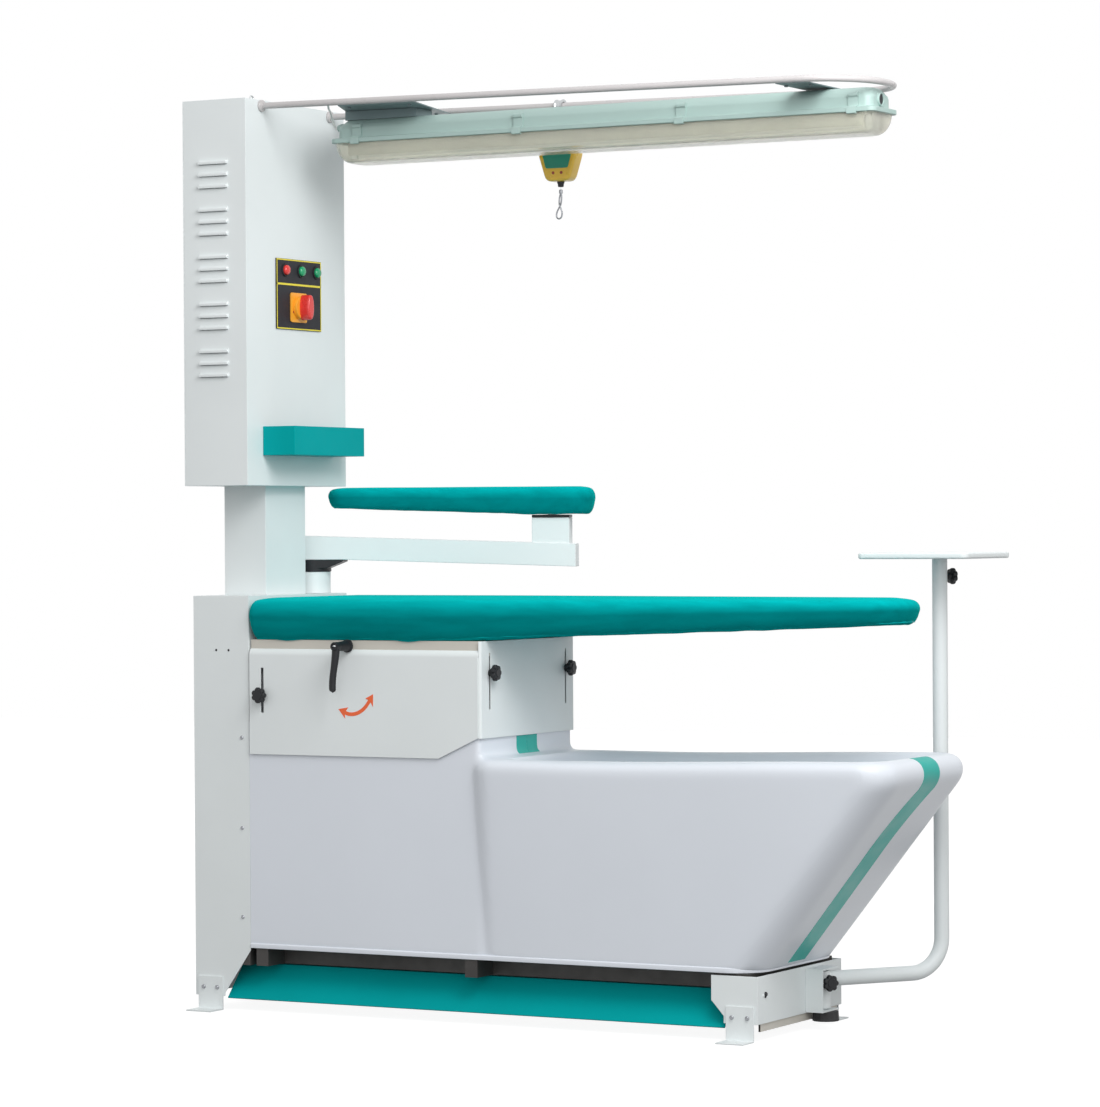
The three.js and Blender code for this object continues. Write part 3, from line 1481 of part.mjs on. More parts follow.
function lampShellRings(inset) {
  const skirt = lampLip;
  return [
    lampRing(lamp.flangeZ - inset, skirt + inset, lampBodyHalf - inset, lampCorner),
    lampRing(-lampShoulder, skirt + inset, lampBodyHalf - inset, lampCorner),
    lampRing(-inset, skirt + lampShoulder / 2 + inset, lampRoofHalf - inset, lampCorner),
  ];
}

function clipPlaces() {
  return clipShares.map((share) => lamp.x0 + (lamp.x1 - lamp.x0) * share);
}

// Both long sides of the lamp, as ranges of Y from an inner to an outer distance
function bothSides(inner, outer) {
  return [
    [-outer, -inner],
    [inner, outer],
  ];
}

function lampBody() {
  const skirt = loft([
    lampRing(lamp.flangeZ - lamp.flange / 2, 0, lamp.half, lampCorner),
    lampRing(lamp.flangeZ + lamp.flange / 2, 0, lamp.half, lampCorner),
  ]);
  const inner = lampBodyHalf - lamp.wall;
  const mouth = loft([
    lampRing(lamp.flangeZ - lamp.flange, lampLip + lamp.wall, inner, lampCorner),
    lampRing(lamp.flangeZ + lamp.flange, lampLip + lamp.wall, inner, lampCorner),
  ]);
  const hollow = loft(lampShellRings(lamp.wall)).add(mouth);
  const clipZ = [lamp.flangeZ - clipDrop, lamp.flangeZ + clipRise];
  const clips = clipPlaces().flatMap((x) =>
    bothSides(inner, lamp.half + lamp.wall).map((y) => block([x, x + clipWidth], y, clipZ)),
  );
  const roof = -lamp.wall / 2;
  const holders = lampHolders().map((x) =>
    block(
      [x, x + lampHolder.length],
      [-lampHolder.half, lampHolder.half],
      [lampTube.z - lampTube.radius, roof],
    ),
  );
  const studs = lampStuds.places.map((x) => {
    const top = plateUnderside(x + lampStuds.radius) - seatGap;
    return rod("z", [x, 0], roof, top, lampStuds.radius, smallSides);
  });
  const nutSpan = [lamp.x0 - gland.length, lamp.x0 + lamp.half];
  const nut = rod("x", [gland.y, gland.z], ...nutSpan, gland.radius, screwSides).subtract(hollow);
  const shell = joined([loft(lampShellRings(0)), skirt]).subtract(hollow);
  return part("lamp_body", joined([shell, nut, ...clips, ...holders, ...studs]), lampGrey);
}

function lampHolders() {
  return [lamp.x0 + lampTube.inset - lampHolder.length, lamp.x1 - lampTube.inset];
}

function diffuserRings(inset) {
  const top = lamp.flangeZ - lamp.flange / 2 - seatGap;
  const floor = lamp.bottom + inset;
  const foot = diffuserLip + diffuserEndSlope + inset;
  const bevel = diffuserLip + diffuserEndSlope / 2 + inset;
  return [
    lampRing(floor, foot, diffuserFloorHalf - inset, lampCorner),
    lampRing(floor + diffuserBevel, bevel, diffuserHalf - diffuserBevel - inset, lampCorner),
    lampRing(top + (inset ? cutOver : 0), diffuserLip + inset, diffuserHalf - inset, lampCorner),
  ];
}

function lampDiffuser() {
  const notchZ = [lamp.flangeZ - clipDrop - seatGap, lamp.flangeZ];
  const notches = clipPlaces().flatMap((x) => {
    const span = [x - seatGap, x + clipWidth + seatGap];
    return bothSides(lampBodyHalf - lamp.wall * 2, lamp.half + lamp.wall).map((y) => block(span, y, notchZ));
  });
  const body = cutBy(loft(diffuserRings(0)), [loft(diffuserRings(lamp.wall)), ...notches]);
  return part("lamp_diffuser", body, clearPlastic);
}

function lampTubeBody() {
  const holders = lampHolders();
  const x0 = holders[0] + lampHolder.length + seatGap;
  const x1 = holders[1] - seatGap;
  return part("lamp_tube", rod("x", [0, lampTube.z], x0, x1, lampTube.radius), glassWhite);
}

// Short cord from the gland up to the side of the rail's near leg
const cablePoints = [
  point(114.7, -5, -14),
  point(109, -5, -14),
  point(106.5, -9, -6.5),
  point(109, -22, 7),
  point(121, -47, 17),
  point(137, -80, 21),
  point(154, -110, 26),
  point(165, -124, 27.7),
  point(165, -132.4, 27.7),
];

function lampCable() {
  return part("lamp_cable", tube(cablePoints, cableRadius, screwSides), white);
}

function overhead() {
  const track = group(0, baseDepth / 2, rail.z, [railBody()]);
  track.rotation.y = radians(railSag);
  const members = [lampBody(), lampDiffuser(), lampTubeBody(), lampCable()];
  const light = group(0, baseDepth / 2, lamp.level, members);
  return [track, light];
}

// Ring that runs on the rail's far leg, with a strap down to the balancer
function balancerHanger(ringZ) {
  const ring = rod("x", [0, 0], -hanger.width / 2, hanger.width / 2, hanger.ring, roundSides);
  const bore = rod("x", [0, 0], -hanger.width, hanger.width, hanger.bore, roundSides);
  const foot = balancerBody.top - ringZ + seatGap;
  const strap = block(
    [-hanger.width / 2, hanger.width / 2],
    [-hanger.strap / 2, hanger.strap / 2],
    [foot, -hanger.bore - cutOver],
  );
  const pad = block(
    [-hanger.foot, hanger.foot],
    [-hanger.foot, hanger.foot],
    [foot, foot + hanger.strap],
  );
  const hung = part("balancer_hanger", joined([ring, strap, pad]).subtract(bore), steel);
  hung.position.z = ringZ;
  return hung;
}

function balancerCase() {
  const b = balancerBody;
  const silhouette = (inset) => [
    [-b.crown + inset, b.top - inset],
    [-b.shoulder + inset, b.top - balancerShoulderDrop],
    [-b.shoulder + inset, b.top - balancerWaistDrop],
    [-b.foot + inset, b.bottom + inset],
    [b.foot - inset, b.bottom + inset],
    [b.shoulder - inset, b.top - balancerWaistDrop],
    [b.shoulder - inset, b.top - balancerShoulderDrop],
    [b.crown - inset, b.top - inset],
  ];
  const half = b.depth / 2;
  const ring = (inset, y) => silhouette(inset).map(([x, z]) => point(x, y, z));
  const faces = [ring(balancerEdge, half), ring(0, half - balancerEdge)];
  const back = [ring(0, -half + balancerEdge), ring(balancerEdge, -half)];
  const body = loftAlongY([...faces, ...back]);
  const mouth = b.bottom - nozzle.length;
  const outlet = rod("z", [0, 0], mouth, b.bottom + cutOver, nozzle.radius, smallSides);
  const bore = rod("z", [0, 0], mouth - cutOver, b.bottom - seatGap, nozzle.bore, screwSides);
  return part("balancer_case", joined([body, outlet]).subtract(bore), yellow);
}

// Rings that face along Y: turned so that the stack runs anticlockwise seen from its head
function loftAlongY(rings) {
  return loft([...rings].reverse().map((ring) => [...ring].reverse()));
}

function balancerCableBody() {
  const top = balancerBody.bottom - nozzle.length + pullCable.inside;
  const foot = balancerBody.bottom - nozzle.length - pullCable.below;
  return part("balancer_cable", rod("z", [0, 0], foot, top, pullCable.radius, screwSides), steel);
}

function balancerHook() {
  const top = balancerBody.bottom - nozzle.length - pullCable.below - seatGap;
  const h = hookLoop;
  const ferrule = rod("z", [0, 0], top - h.ferruleLength, top, h.ferrule, screwSides);
  const start = top - h.ferruleLength + cutOver;
  const [wide, narrow] = hookWaveShares;
  const eye = Array.from({ length: h.steps + 1 }, (_, i) => {
    const share = i / h.steps;
    const open = Math.sin(Math.PI * share);
    const swing = Math.sin(2 * Math.PI * share) * wide + Math.sin(4 * Math.PI * share) * narrow;
    const side = share * 2 < 1 ? -cutOver : cutOver;
    return point(side * (1 - open) - h.half * swing - h.lean * open, 0, start - h.length * open);
  });
  return part("balancer_hook", joined([ferrule, tube(eye, h.wire, curlSides)]), steel);
}

function balancerParts() {
  const railZ = rail.z - balancerX * Math.sin(radians(railSag));
  const ringZ = railZ - (hanger.bore - rail.tube - seatGap);
  const members = [balancerHanger(ringZ), balancerCase(), balancerCableBody(), balancerHook()];
  return group(balancerX, baseDepth / 2 + rail.half, 0, members);
}

// Channel on the end bracket with the pin that the tray's tube swings on
function traySocket() {
  const x = [frameEnd + seatGap, frameEnd + socket.depth];
  const y = [socket.y0, socket.y1];
  const back = block([x[0], x[0] + socket.sheet], y, [socket.z0, socket.z1]);
  const side = block(x, [y[0], y[0] + socket.sheet], [socket.z0, socket.z1]);
  const floor = block(x, y, [socket.z0, socket.z0 + socket.sheet]);
  const roof = block(x, y, [socket.z1 - socket.sheet, socket.z1]);
  const pin = rod("z", [trayPivot.x, trayPivot.y], socket.z0 + cutOver, socket.z1 - cutOver, pivotPin);
  return part("tray_socket", joined([back, side, floor, roof, pin]), white);
}

function socketFoot() {
  const z = [pivotFoot.z0, socket.z0 - seatGap];
  const centre = [trayPivot.x + pivotFoot.shiftX, trayPivot.y + pivotFoot.shiftY];
  const cap = rod("z", centre, ...z, pivotFoot.radius, smallSides, pivotFoot.topRadius);
  return part("tray_socket_foot", cap, black);
}

// Bent tube in its own frame: X along its leg, zero on the pivot pin
function trayArm() {
  const t = trayTube;
  const leg = bent([point(0, 0, t.z), point(t.reach, 0, t.z), point(t.reach, 0, t.top)], t.bend);
  const pipe = tube(leg, t.radius, trayTubeSides);
  const hub = rod("z", [0, 0], trayHub.z0, trayHub.z1, trayHub.radius, trayTubeSides);
  const pinBore = rod("z", [0, 0], trayHub.z0 - cutOver, trayHub.z1 + cutOver, pivotPin + runningGap);
  const postBore = rod("z", [t.reach, 0], t.boreFoot, t.top + cutOver, t.bore, trayTubeSides);
  const studX = [t.reach, t.reach + t.radius + cutOver];
  const studBore = rod("x", [0, postKnobHeight], ...studX, studRadius + seatGap, screwSides);
  return part("tray_arm", cutBy(joined([pipe, hub]), [pinBore, postBore, studBore]), white);
}

function trayParts() {
  const t = trayTube;
  const armKnob = starKnob("knob_tray_arm", trayKnobStandoff);
  const radiusOut = trayHub.radius + trayKnobStandoff + seatGap;
  turned(armKnob, 0, -radiusOut, trayKnobHeight, 90, 0, 0);
  const postKnob = starKnob("knob_tray_post", t.radius - t.bore + seatGap);
  turned(postKnob, t.reach + t.radius + seatGap, 0, postKnobHeight, 0, 90, 0);
  const bar = rod("z", [t.reach, 0], trayPost.foot, trayPost.top, trayPost.radius, trayTubeSides);
  const post = part("tray_post", bar, steel);
  const plate = trayPlate();
  plate.position.set(t.reach, 0, trayPost.top + seatGap);
  plate.rotation.z = -radians(trayTurn);
  const made = group(trayPivot.x, trayPivot.y, 0, [trayArm(), armKnob, postKnob, post, plate]);
  made.rotation.z = radians(trayTurn);
  return made;
}

// Shallow tray with a rolled rim, in its own frame over the post
function trayPlate() {
  const x = [tray.shiftX - tray.width / 2, tray.shiftX + tray.width / 2];
  const y = [tray.shiftY - tray.depth / 2, tray.shiftY + tray.depth / 2];
  const ring = (z, inset) =>
    roundedRing(x[0] + inset, x[1] - inset, y[0] + inset, y[1] - inset, tray.corner - inset, z);
  const outer = loft([
    ring(0, tray.edge),
    ring(tray.edge, 0),
    ring(tray.thickness - tray.edge, 0),
    ring(tray.thickness, tray.edge),
  ]);
  const pocket = loft([ring(tray.floor, tray.rim + tray.edge), ring(tray.thickness + cutOver, tray.rim)]);
  return part("tray_plate", outer.subtract(pocket), white);
}

const buttonPaints = [red, green, green];
const buttonNames = ["button_red", "button_green_left", "button_green_right"];
const buttons = buttonPlaces().map((y, i) => pushButton(buttonNames[i], y, buttonPaints[i]));

const swingMembers = [armBearingBody(), swingArm(), sleeveBearing(), sleeveParts()];
const swing = group(armPivot.x, armPivot.y, 0, swingMembers);
swing.rotation.z = radians(armTurn);
const armPostMesh = armPostBody();
armPostMesh.position.set(armPivot.x, armPivot.y, 0);

const table = new THREE.Group();
table.add(
  baseFrame(),
  columnHousing(),
  foot("foot_front_left", footLeftX, -1),
  foot("foot_front_right", footRightX, -1),
  foot("foot_rear_left", footLeftX, 1),
  foot("foot_rear_right", footRightX, 1),
  endBracket(),
  bodyShell(),
  fanHousing(),
  fanImpeller(),
  fanMotor(),
  suctionDuct(),
  supportTower(),
  plenum(),
  sideSkirt("skirt_front", false),
  sideSkirt("skirt_rear", true),
  endSkirt(),
  ...skirtKnobs(),
  damperFlap(),
  damperLever(),
  boardCover(),
  boardPan(),
  pedal(),
  pedalSpring(),
  footSwitchBox(),
  mastTube(),
  cabinetShell(),
  cabinetDoor(),
  controlPanel(),
  ...buttons,
  switchPlate(),
  switchKnob(),
  ironRest(),
  armPostMesh,
  swing,
  ...overhead(),
  balancerParts(),
  traySocket(),
  socketFoot(),
  trayParts(),
);

// Origin under the middle of the outline, on the floor
table.updateMatrixWorld(true);
const outline = new THREE.Box3().setFromObject(table, true);
const middle = outline.getCenter(new THREE.Vector3());
table.position.set(-middle.x, -middle.y, -outline.min.z);

export default table;
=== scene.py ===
import json
from math import atan2, cos, dist, exp, pi, radians, sin, sqrt, tan
from types import SimpleNamespace

import bmesh
import bpy
from mathutils import Matrix, Vector, noise
from mathutils.bvhtree import BVHTree


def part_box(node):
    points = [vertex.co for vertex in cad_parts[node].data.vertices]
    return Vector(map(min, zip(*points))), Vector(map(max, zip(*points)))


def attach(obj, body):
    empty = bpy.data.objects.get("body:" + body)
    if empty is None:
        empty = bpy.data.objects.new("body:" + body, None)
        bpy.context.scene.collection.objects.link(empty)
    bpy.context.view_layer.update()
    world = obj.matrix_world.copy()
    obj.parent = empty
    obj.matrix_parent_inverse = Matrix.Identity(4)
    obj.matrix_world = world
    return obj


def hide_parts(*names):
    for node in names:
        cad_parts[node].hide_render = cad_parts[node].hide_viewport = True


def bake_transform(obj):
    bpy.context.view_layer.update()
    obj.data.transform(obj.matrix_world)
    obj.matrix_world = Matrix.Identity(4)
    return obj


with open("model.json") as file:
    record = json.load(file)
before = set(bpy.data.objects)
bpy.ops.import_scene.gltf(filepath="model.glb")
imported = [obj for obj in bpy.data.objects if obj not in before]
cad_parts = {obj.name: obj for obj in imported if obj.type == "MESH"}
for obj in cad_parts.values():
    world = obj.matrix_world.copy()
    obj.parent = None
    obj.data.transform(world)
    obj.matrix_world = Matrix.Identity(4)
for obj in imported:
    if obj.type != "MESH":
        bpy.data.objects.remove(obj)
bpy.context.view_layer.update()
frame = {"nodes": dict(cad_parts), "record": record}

# Places are worked out in millimetres, with their zero at the foot of the column's front right edge
MM = 0.001
COLUMN_WIDTH, COLUMN_FOOT = 143, 30
DEPTH = 404
AXIS = DEPTH / 2
column_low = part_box("column_housing")[0]
ZERO = Vector((column_low.x + COLUMN_WIDTH * MM, column_low.y, column_low.z - COLUMN_FOOT * MM))


def at(p):
    return ZERO + Vector(p) * MM


def turn(axis, degrees):
    return Matrix.Rotation(radians(degrees), 4, axis)


def shift(x, y, z):
    return Matrix.Translation((x, y, z))


def put(target, **values):
    for name, value in values.items():
        setattr(target, name, value)


def new_object(name, data):
    made = bpy.data.objects.new(name, data)
    bpy.context.scene.collection.objects.link(made)
    return made


# Camera
IMAGE_WIDTH = 1100
FOCAL_PIXELS = 4009.16
SENSOR = 36
CAMERA_PLACE = (4759.06, -7281.70, 1037.56)
AZIMUTH, PITCH, ROLL = 28.86, 0.33, -0.36

camera = new_object("camera", bpy.data.cameras.new("camera"))
camera.matrix_world = shift(*at(CAMERA_PLACE)) @ turn("Z", AZIMUTH) @ turn("X", 90 - PITCH) @ turn("Z", ROLL)
put(camera.data, sensor_fit="HORIZONTAL", sensor_width=SENSOR, lens=FOCAL_PIXELS / IMAGE_WIDTH * SENSOR,
    clip_start=0.1, clip_end=100)
bpy.context.scene.camera = camera
bpy.context.scene.view_settings.view_transform = "Standard"


def nodes_of(name):
    made = bpy.data.materials.new(name)
    made.use_nodes = True
    tree = made.node_tree
    return made, tree, next(n for n in tree.nodes if n.type == "BSDF_PRINCIPLED")


def feed(tree, target, inputs):
    """Gives each input its value or its link."""
    for name, value in inputs.items():
        if isinstance(value, bpy.types.NodeSocket):
            tree.links.new(value, target.inputs[name])
        else:
            target.inputs[name].default_value = value


def node(tree, kind, output, inputs, **settings):
    """Adds a shader node and returns one of its outputs."""
    made = tree.nodes.new("ShaderNode" + kind)
    put(made, **settings)
    feed(tree, made, inputs)
    return made.outputs[output]


def chained(tree, operation, first, *others):
    for other in others:
        first = node(tree, "Math", "Value", {0: first, 1: other}, operation=operation)
    return first


def spot(tree):
    return node(tree, "TexCoord", "Object", {})


def noise_of(tree, scale, detail=3, stretch=(1, 1, 1)):
    stretched = node(tree, "Mapping", "Vector", {"Vector": spot(tree), "Scale": stretch})
    return node(tree, "TexNoise", "Fac", {"Vector": stretched, "Scale": scale, "Detail": detail})


def ramp(tree, source, low, high, start=0.35, end=0.65):
    made = tree.nodes.new("ShaderNodeValToRGB")
    first, last = made.color_ramp.elements
    first.position, last.position = start, end
    first.color, last.color = (*low, 1), (*high, 1)
    feed(tree, made, {"Fac": source})
    return made.outputs["Color"]


def spread(tree, source, low, high):
    return node(tree, "MapRange", "Result",
                {"Value": source, "From Min": 0.3, "From Max": 0.7, "To Min": low, "To Max": high})


def bump(tree, source, strength, distance, normal=None):
    below = {} if normal is None else {"Normal": normal}
    return node(tree, "Bump", "Normal", {"Height": source, "Strength": strength, "Distance": distance, **below})


def shade(colour, factor):
    return tuple(min(1, c * factor) for c in colour)


def surface(name, slot, colour, roughness, vary=0.04, patch=4, grain=900, grain_depth=0.00006, grain_strength=0.25,
            stretch=(1, 1, 1), **own):
    """A finish whose tone, gloss and relief drift a little."""
    made, tree, shader = nodes_of(name)
    feed(tree, shader, {
        "Base Color": ramp(tree, noise_of(tree, patch, 4), shade(colour, 1 - vary), shade(colour, 1 + vary / 2)),
        "Roughness": spread(tree, noise_of(tree, patch * 6, 4, stretch), *roughness),
        "Normal": bump(tree, noise_of(tree, grain, 2, stretch), grain_strength, grain_depth),
        **{socket.replace("_", " "): value for socket, value in own.items()},
    })
    return made


def cloth(name, colour, dark):
    """Woven cotton: crossed threads, a slubby tone, a painted highlight that lightens faces that look up, and a sheen.
    """
    made, tree, shader = nodes_of(name)
    thread = {"Vector": spot(tree), "Scale": 320, "Distortion": 0.6, "Detail": 1}
    crossed = chained(tree, "ADD", *(node(tree, "TexWave", "Fac", thread, bands_direction=axis) for axis in "XYZ"))
    weave = bump(tree, crossed, 0.35, 0.00018)
    slub = noise_of(tree, 60, 6, (0.15, 1, 1))
    tone = ramp(tree, slub, dark, colour, 0.3, 0.62)
    # Painted highlight: a lighter copy of the tone, mixed in on faces that look up as light from above would brighten
    # them
    painted_top_light = ramp(tree, slub, shade(colour, 1.5), shade(colour, 1.8), 0.3, 0.62)
    height = node(tree, "SeparateXYZ", "Z", {"Vector": node(tree, "NewGeometry", "Normal", {})})
    upward = node(tree, "MapRange", "Result", {"Value": height, "From Min": -0.1, "From Max": 0.9})
    feed(tree, shader, {
        # The mix node's sockets for colours are numbers 6 and 7, and number 2 of its outputs
        "Base Color": node(tree, "Mix", 2, {"Factor": upward, 6: tone, 7: painted_top_light}, data_type="RGBA"),
        "Roughness": spread(tree, slub, 0.78, 0.9),
        "Normal": bump(tree, noise_of(tree, 26, 5, (0.5, 1, 1)), 0.35, 0.0022, weave),
        "Sheen Weight": 0.5, "Sheen Roughness": 0.45, "Sheen Tint": (0.02, 0.9, 0.78, 1), "Specular IOR Level": 0,
    })
    return made


WHITE = surface("powder_white", "painted_white", (0.80, 0.845, 0.85), (0.42, 0.52), 0.025)
WHITE_INSIDE = surface("powder_white_inside", "painted_white", (0.74, 0.78, 0.78), (0.45, 0.55), 0.05)
# Painted shade: the white rail is given a grey colour all over, standing in for its shaded underside
RAIL_PAINTED_SHADE = surface("rail_painted_shade", "painted_white", (0.52, 0.5, 0.5), (0.25, 0.35), 0.03)
# Painted shade: the plates are white painted sheet given a dark grey, standing in for their shaded undersides
PLATE_PAINTED_SHADE = surface("plate_painted_shade", "painted_white", (0.17, 0.235, 0.245), (0.35, 0.5), 0.1, 6, Metallic=0.2)
MOULD = surface("moulded_white", "moulded_white", (0.76, 0.80, 0.86), (0.32, 0.33), 0.02, 2.5, 300, 0.00012, 0.2,
                Specular_IOR_Level=0.4)
CREAM = surface("cream_paint", "cream", (0.62, 0.59, 0.53), (0.45, 0.55), 0.06)
TEAL = surface("teal_paint", "teal_paint", (0.0008, 0.36, 0.37), (0.4, 0.5), 0.05, Specular_IOR_Level=0.04)
TEAL_TAPE = surface("teal_tape", "teal_paint", (0.004, 0.42, 0.36), (0.32, 0.42), 0.05, Specular_IOR_Level=0.25)
CLOTH = cloth("cotton_teal", (0.0004, 0.25, 0.26), (0.0004, 0.215, 0.225))
BLACK = surface("black_plastic", "black_plastic", (0.013, 0.014, 0.017), (0.38, 0.5), 0.2, 8, 1800, 0.00008, 0.4,
                Specular_IOR_Level=0.3)
RUBBER = surface("black_rubber", "rubber", (0.012, 0.012, 0.013), (0.65, 0.8), 0.2, 10, 700, 0.0001, 0.4)
PANEL = surface("panel_black", "black_plastic", (0.022, 0.023, 0.028), (0.45, 0.55), 0.15, 9, Specular_IOR_Level=0.2)
RED = surface("red_plastic", "red_plastic", (0.72, 0.035, 0.03), (0.22, 0.32), 0.06, 12, Coat_Weight=0.3)
RED_DARK = surface("red_dark", "red_plastic", (0.36, 0.04, 0.02), (0.3, 0.4), 0.1, 12)
ORANGE = surface("orange_print", "red_plastic", (0.86, 0.14, 0.04), (0.4, 0.5), 0.05, 12)
GREEN = surface("green_plastic", "green_plastic", (0.0, 0.33, 0.13), (0.2, 0.3), 0.06, 12, Coat_Weight=0.3)
GREEN_PLATE = surface("green_plate", "green_plastic", (0.02, 0.30, 0.20), (0.3, 0.4), 0.06, 10)
YELLOW = surface("yellow_plastic", "yellow_plastic", (0.92, 0.40, 0.03), (0.3, 0.4), 0.05, 12)
YELLOW_LINE = surface("yellow_line", "yellow_plastic", (0.83, 0.70, 0.04), (0.35, 0.45), 0.05, 12)
YELLOW_PAINT = surface("yellow_paint", "yellow_paint", (1.0, 0.62, 0.05), (0.25, 0.36), 0.06, 10, Coat_Weight=0.25)
STEEL = surface("bright_steel", "steel", (0.62, 0.64, 0.65), (0.18, 0.32), 0.08, 8, 700, 0.00004, 0.3, (1, 1, 12),
                Metallic=1)
DARK_STEEL = surface("dark_steel", "steel", (0.13, 0.165, 0.175), (0.35, 0.5), 0.12, 6, Metallic=0.6)
SCREW_STEEL = surface("screw_steel", "steel", (0.30, 0.31, 0.33), (0.22, 0.36), 0.1, 12, Metallic=0.9)
# Painted shade: the base frame is darkened to near black, standing in for the shade inside the base
FRAME_PAINTED_SHADE = surface("frame_painted_shade", "steel", (0.045, 0.042, 0.04), (0.5, 0.65), 0.25, 7, Metallic=0.3)

# Hot dip zinc: crystal spangles with their own tone and gloss
ZINC, tree, shader = nodes_of("zinc")
cells = node(tree, "TexVoronoi", "Color", {"Vector": spot(tree), "Scale": 75})
feed(tree, shader, {
    "Base Color": ramp(tree, cells, (0.4264, 0.4428, 0.451), (0.5824, 0.6048, 0.616), 0.2, 0.8),
    "Roughness": spread(tree, cells, 0.36, 0.55),
    "Normal": bump(tree, noise_of(tree, 500), 0.2, 0.0001),
    "Metallic": 0.85,
})
SHADE_GREY = surface("lamp_grey", "lamp_grey", (0.37, 0.50, 0.47), (0.42, 0.5), 0.03, 5, 300, 0.0001, 0.2)
REFLECTOR = surface("lamp_reflector", "lamp_grey", (0.40, 0.42, 0.37), (0.3, 0.4), 0.05, 6)
GLASS_WHITE = surface("lamp_white", "lamp_white", (0.90, 0.92, 0.90), (0.1, 0.16), 0.02, 6)
CORD = surface("cord_white", "white_cord", (0.78, 0.79, 0.77), (0.4, 0.5), 0.05, 12)

# Clear moulded plastic, ribbed across, that has yellowed a little
CLEAR, tree, shader = nodes_of("lamp_clear")
yellowed = noise_of(tree, 5)
ribs = node(tree, "TexWave", "Fac", {"Vector": spot(tree), "Scale": 95}, bands_direction="Y")
feed(tree, shader, {
    "Base Color": ramp(tree, yellowed, (0.9021, 0.8928, 0.8184), (0.97, 0.96, 0.88)),
    "Roughness": spread(tree, yellowed, 0.1, 0.2),
    "Normal": bump(tree, ribs, 0.3, 0.0004),
    "Transmission Weight": 0.82, "IOR": 1.3,
})

# How strongly the floor is lifted to the background, the light from all round, and the soft lamps
FLOOR_LIFT, AMBIENT = 0.91, 0.52
FILL_TOWARDS, FILL_LEVEL, FILL_ANGLE = (0.62, -0.72, 0.25), 0.36, 70
KEY_PLACE, KEY_AIM, KEY_SIZE, KEY_WATTS = (2150, -1000, 2600), (500, 200, 900), 1.4, 36

# Points nearer than this are one point
WELD = 0.01


# Shapes in millimetres
def round_edges(bm, width, angle):
    """Rounds every edge whose faces turn by more than an angle."""
    limit = radians(angle)
    edges = [e for e in bm.edges if len(e.link_faces) == 2 and e.calc_face_angle(0) > limit]
    bmesh.ops.bevel(bm, geom=edges, offset=width, segments=2, profile=0.5, affect="EDGES", clamp_overlap=True)


def settled(bm, mesh):
    bmesh.ops.recalc_face_normals(bm, faces=bm.faces)
    bm.to_mesh(mesh)
    bm.free()
    return mesh


def paint_with(mesh, material):
    mesh.materials.clear()
    mesh.materials.append(material)


class Shape:
    def __init__(self, verts=(), faces=()):
        self.verts = [Vector(v) for v in verts]
        self.faces = [list(f) for f in faces]

    def join(self, *others):
        for other in others:
            base = len(self.verts)
            self.verts += other.verts
            self.faces += [[base + i for i in f] for f in other.faces]
        return self

    def moved(self, matrix):
        return Shape([matrix @ v for v in self.verts], self.faces)

    def bevelled(self, width):
        if not width:
            return self
        bm = self.filled()
        bmesh.ops.recalc_face_normals(bm, faces=bm.faces)
        round_edges(bm, width, 30)
        bm.verts.index_update()
        made = Shape([v.co.copy() for v in bm.verts], [[v.index for v in f.verts] for f in bm.faces])
        bm.free()
        return made

    def filled(self):
        bm = bmesh.new()
        made = [bm.verts.new(v) for v in self.verts]
        for f in self.faces:
            if len(set(f)) > 2:
                bm.faces.new([made[i] for i in dict.fromkeys(f)])
        return bm

    def mesh(self, name):
        bm = self.filled()
        bmesh.ops.remove_doubles(bm, verts=bm.verts, dist=WELD)
        for v in bm.verts:
            v.co = at(v.co)
        return settled(bm, bpy.data.meshes.new(name))


def place(mesh, name, material, body="base", sharp=38, stands_for=""):
    mesh.shade_smooth()
    mesh.set_sharp_from_angle(angle=radians(sharp))
    paint_with(mesh, material)
    made = new_object(name, mesh)
    made.modifiers.new("even", "WEIGHTED_NORMAL").keep_sharp = True
    if body:
        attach(made, body)
    if stands_for:
        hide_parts(stands_for)
    return made


def piece(shape, name, *how, **more):
    return place(shape.mesh(name), name, *how, **more)


def loft(rings, start=True, end=True):
    """A skin over rings of equal count, closed at its start and end."""
    count = len(rings[0])
    faces = [[low + i, low + n, low + count + n, low + count + i]
             for low in range(0, (len(rings) - 1) * count, count) for i, n in zip(range(count), [*range(1, count), 0])]
    if start:
        faces.append(list(range(count))[::-1])
    if end:
        faces.append([(len(rings) - 1) * count + i for i in range(count)])
    return Shape([v for ring in rings for v in ring], faces)


def circle(sides):
    turns = [2 * pi * i / sides for i in range(sides)]
    return [(cos(t), sin(t)) for t in turns]


def flat(points, z):
    return [(x, y, z) for x, y in points]


TO_AXIS = {"x": ((0, 0, 1), (1, 0, 0), (0, 1, 0)), "y": ((1, 0, 0), (0, 0, 1), (0, -1, 0)),
           "z": ((1, 0, 0), (0, 1, 0), (0, 0, 1))}


def lathe(profile, axis="z", centre=(0, 0, 0), sides=32):
    """Turns (radius, height) points round an axis."""
    rings = [flat([(r * c, r * s) for c, s in circle(sides)], h) for r, h in profile]
    return loft(rings).moved(shift(*centre) @ Matrix(TO_AXIS[axis]).to_4x4())


def lathes(profile, axis, centres, sides):
    """The same turned form at several places."""
    return Shape().join(*(lathe(profile, axis, centre, sides) for centre in centres))


def revolve(loop_points, axis, centre, sides=40):
    """Turns a closed loop of (radius, height) points into a ring."""
    rings = [[(r * c, r * s, h) for r, h in loop_points] for c, s in circle(sides)]
    return loft(rings + [rings[0]], False, False).moved(shift(*centre) @ Matrix(TO_AXIS[axis]).to_4x4())


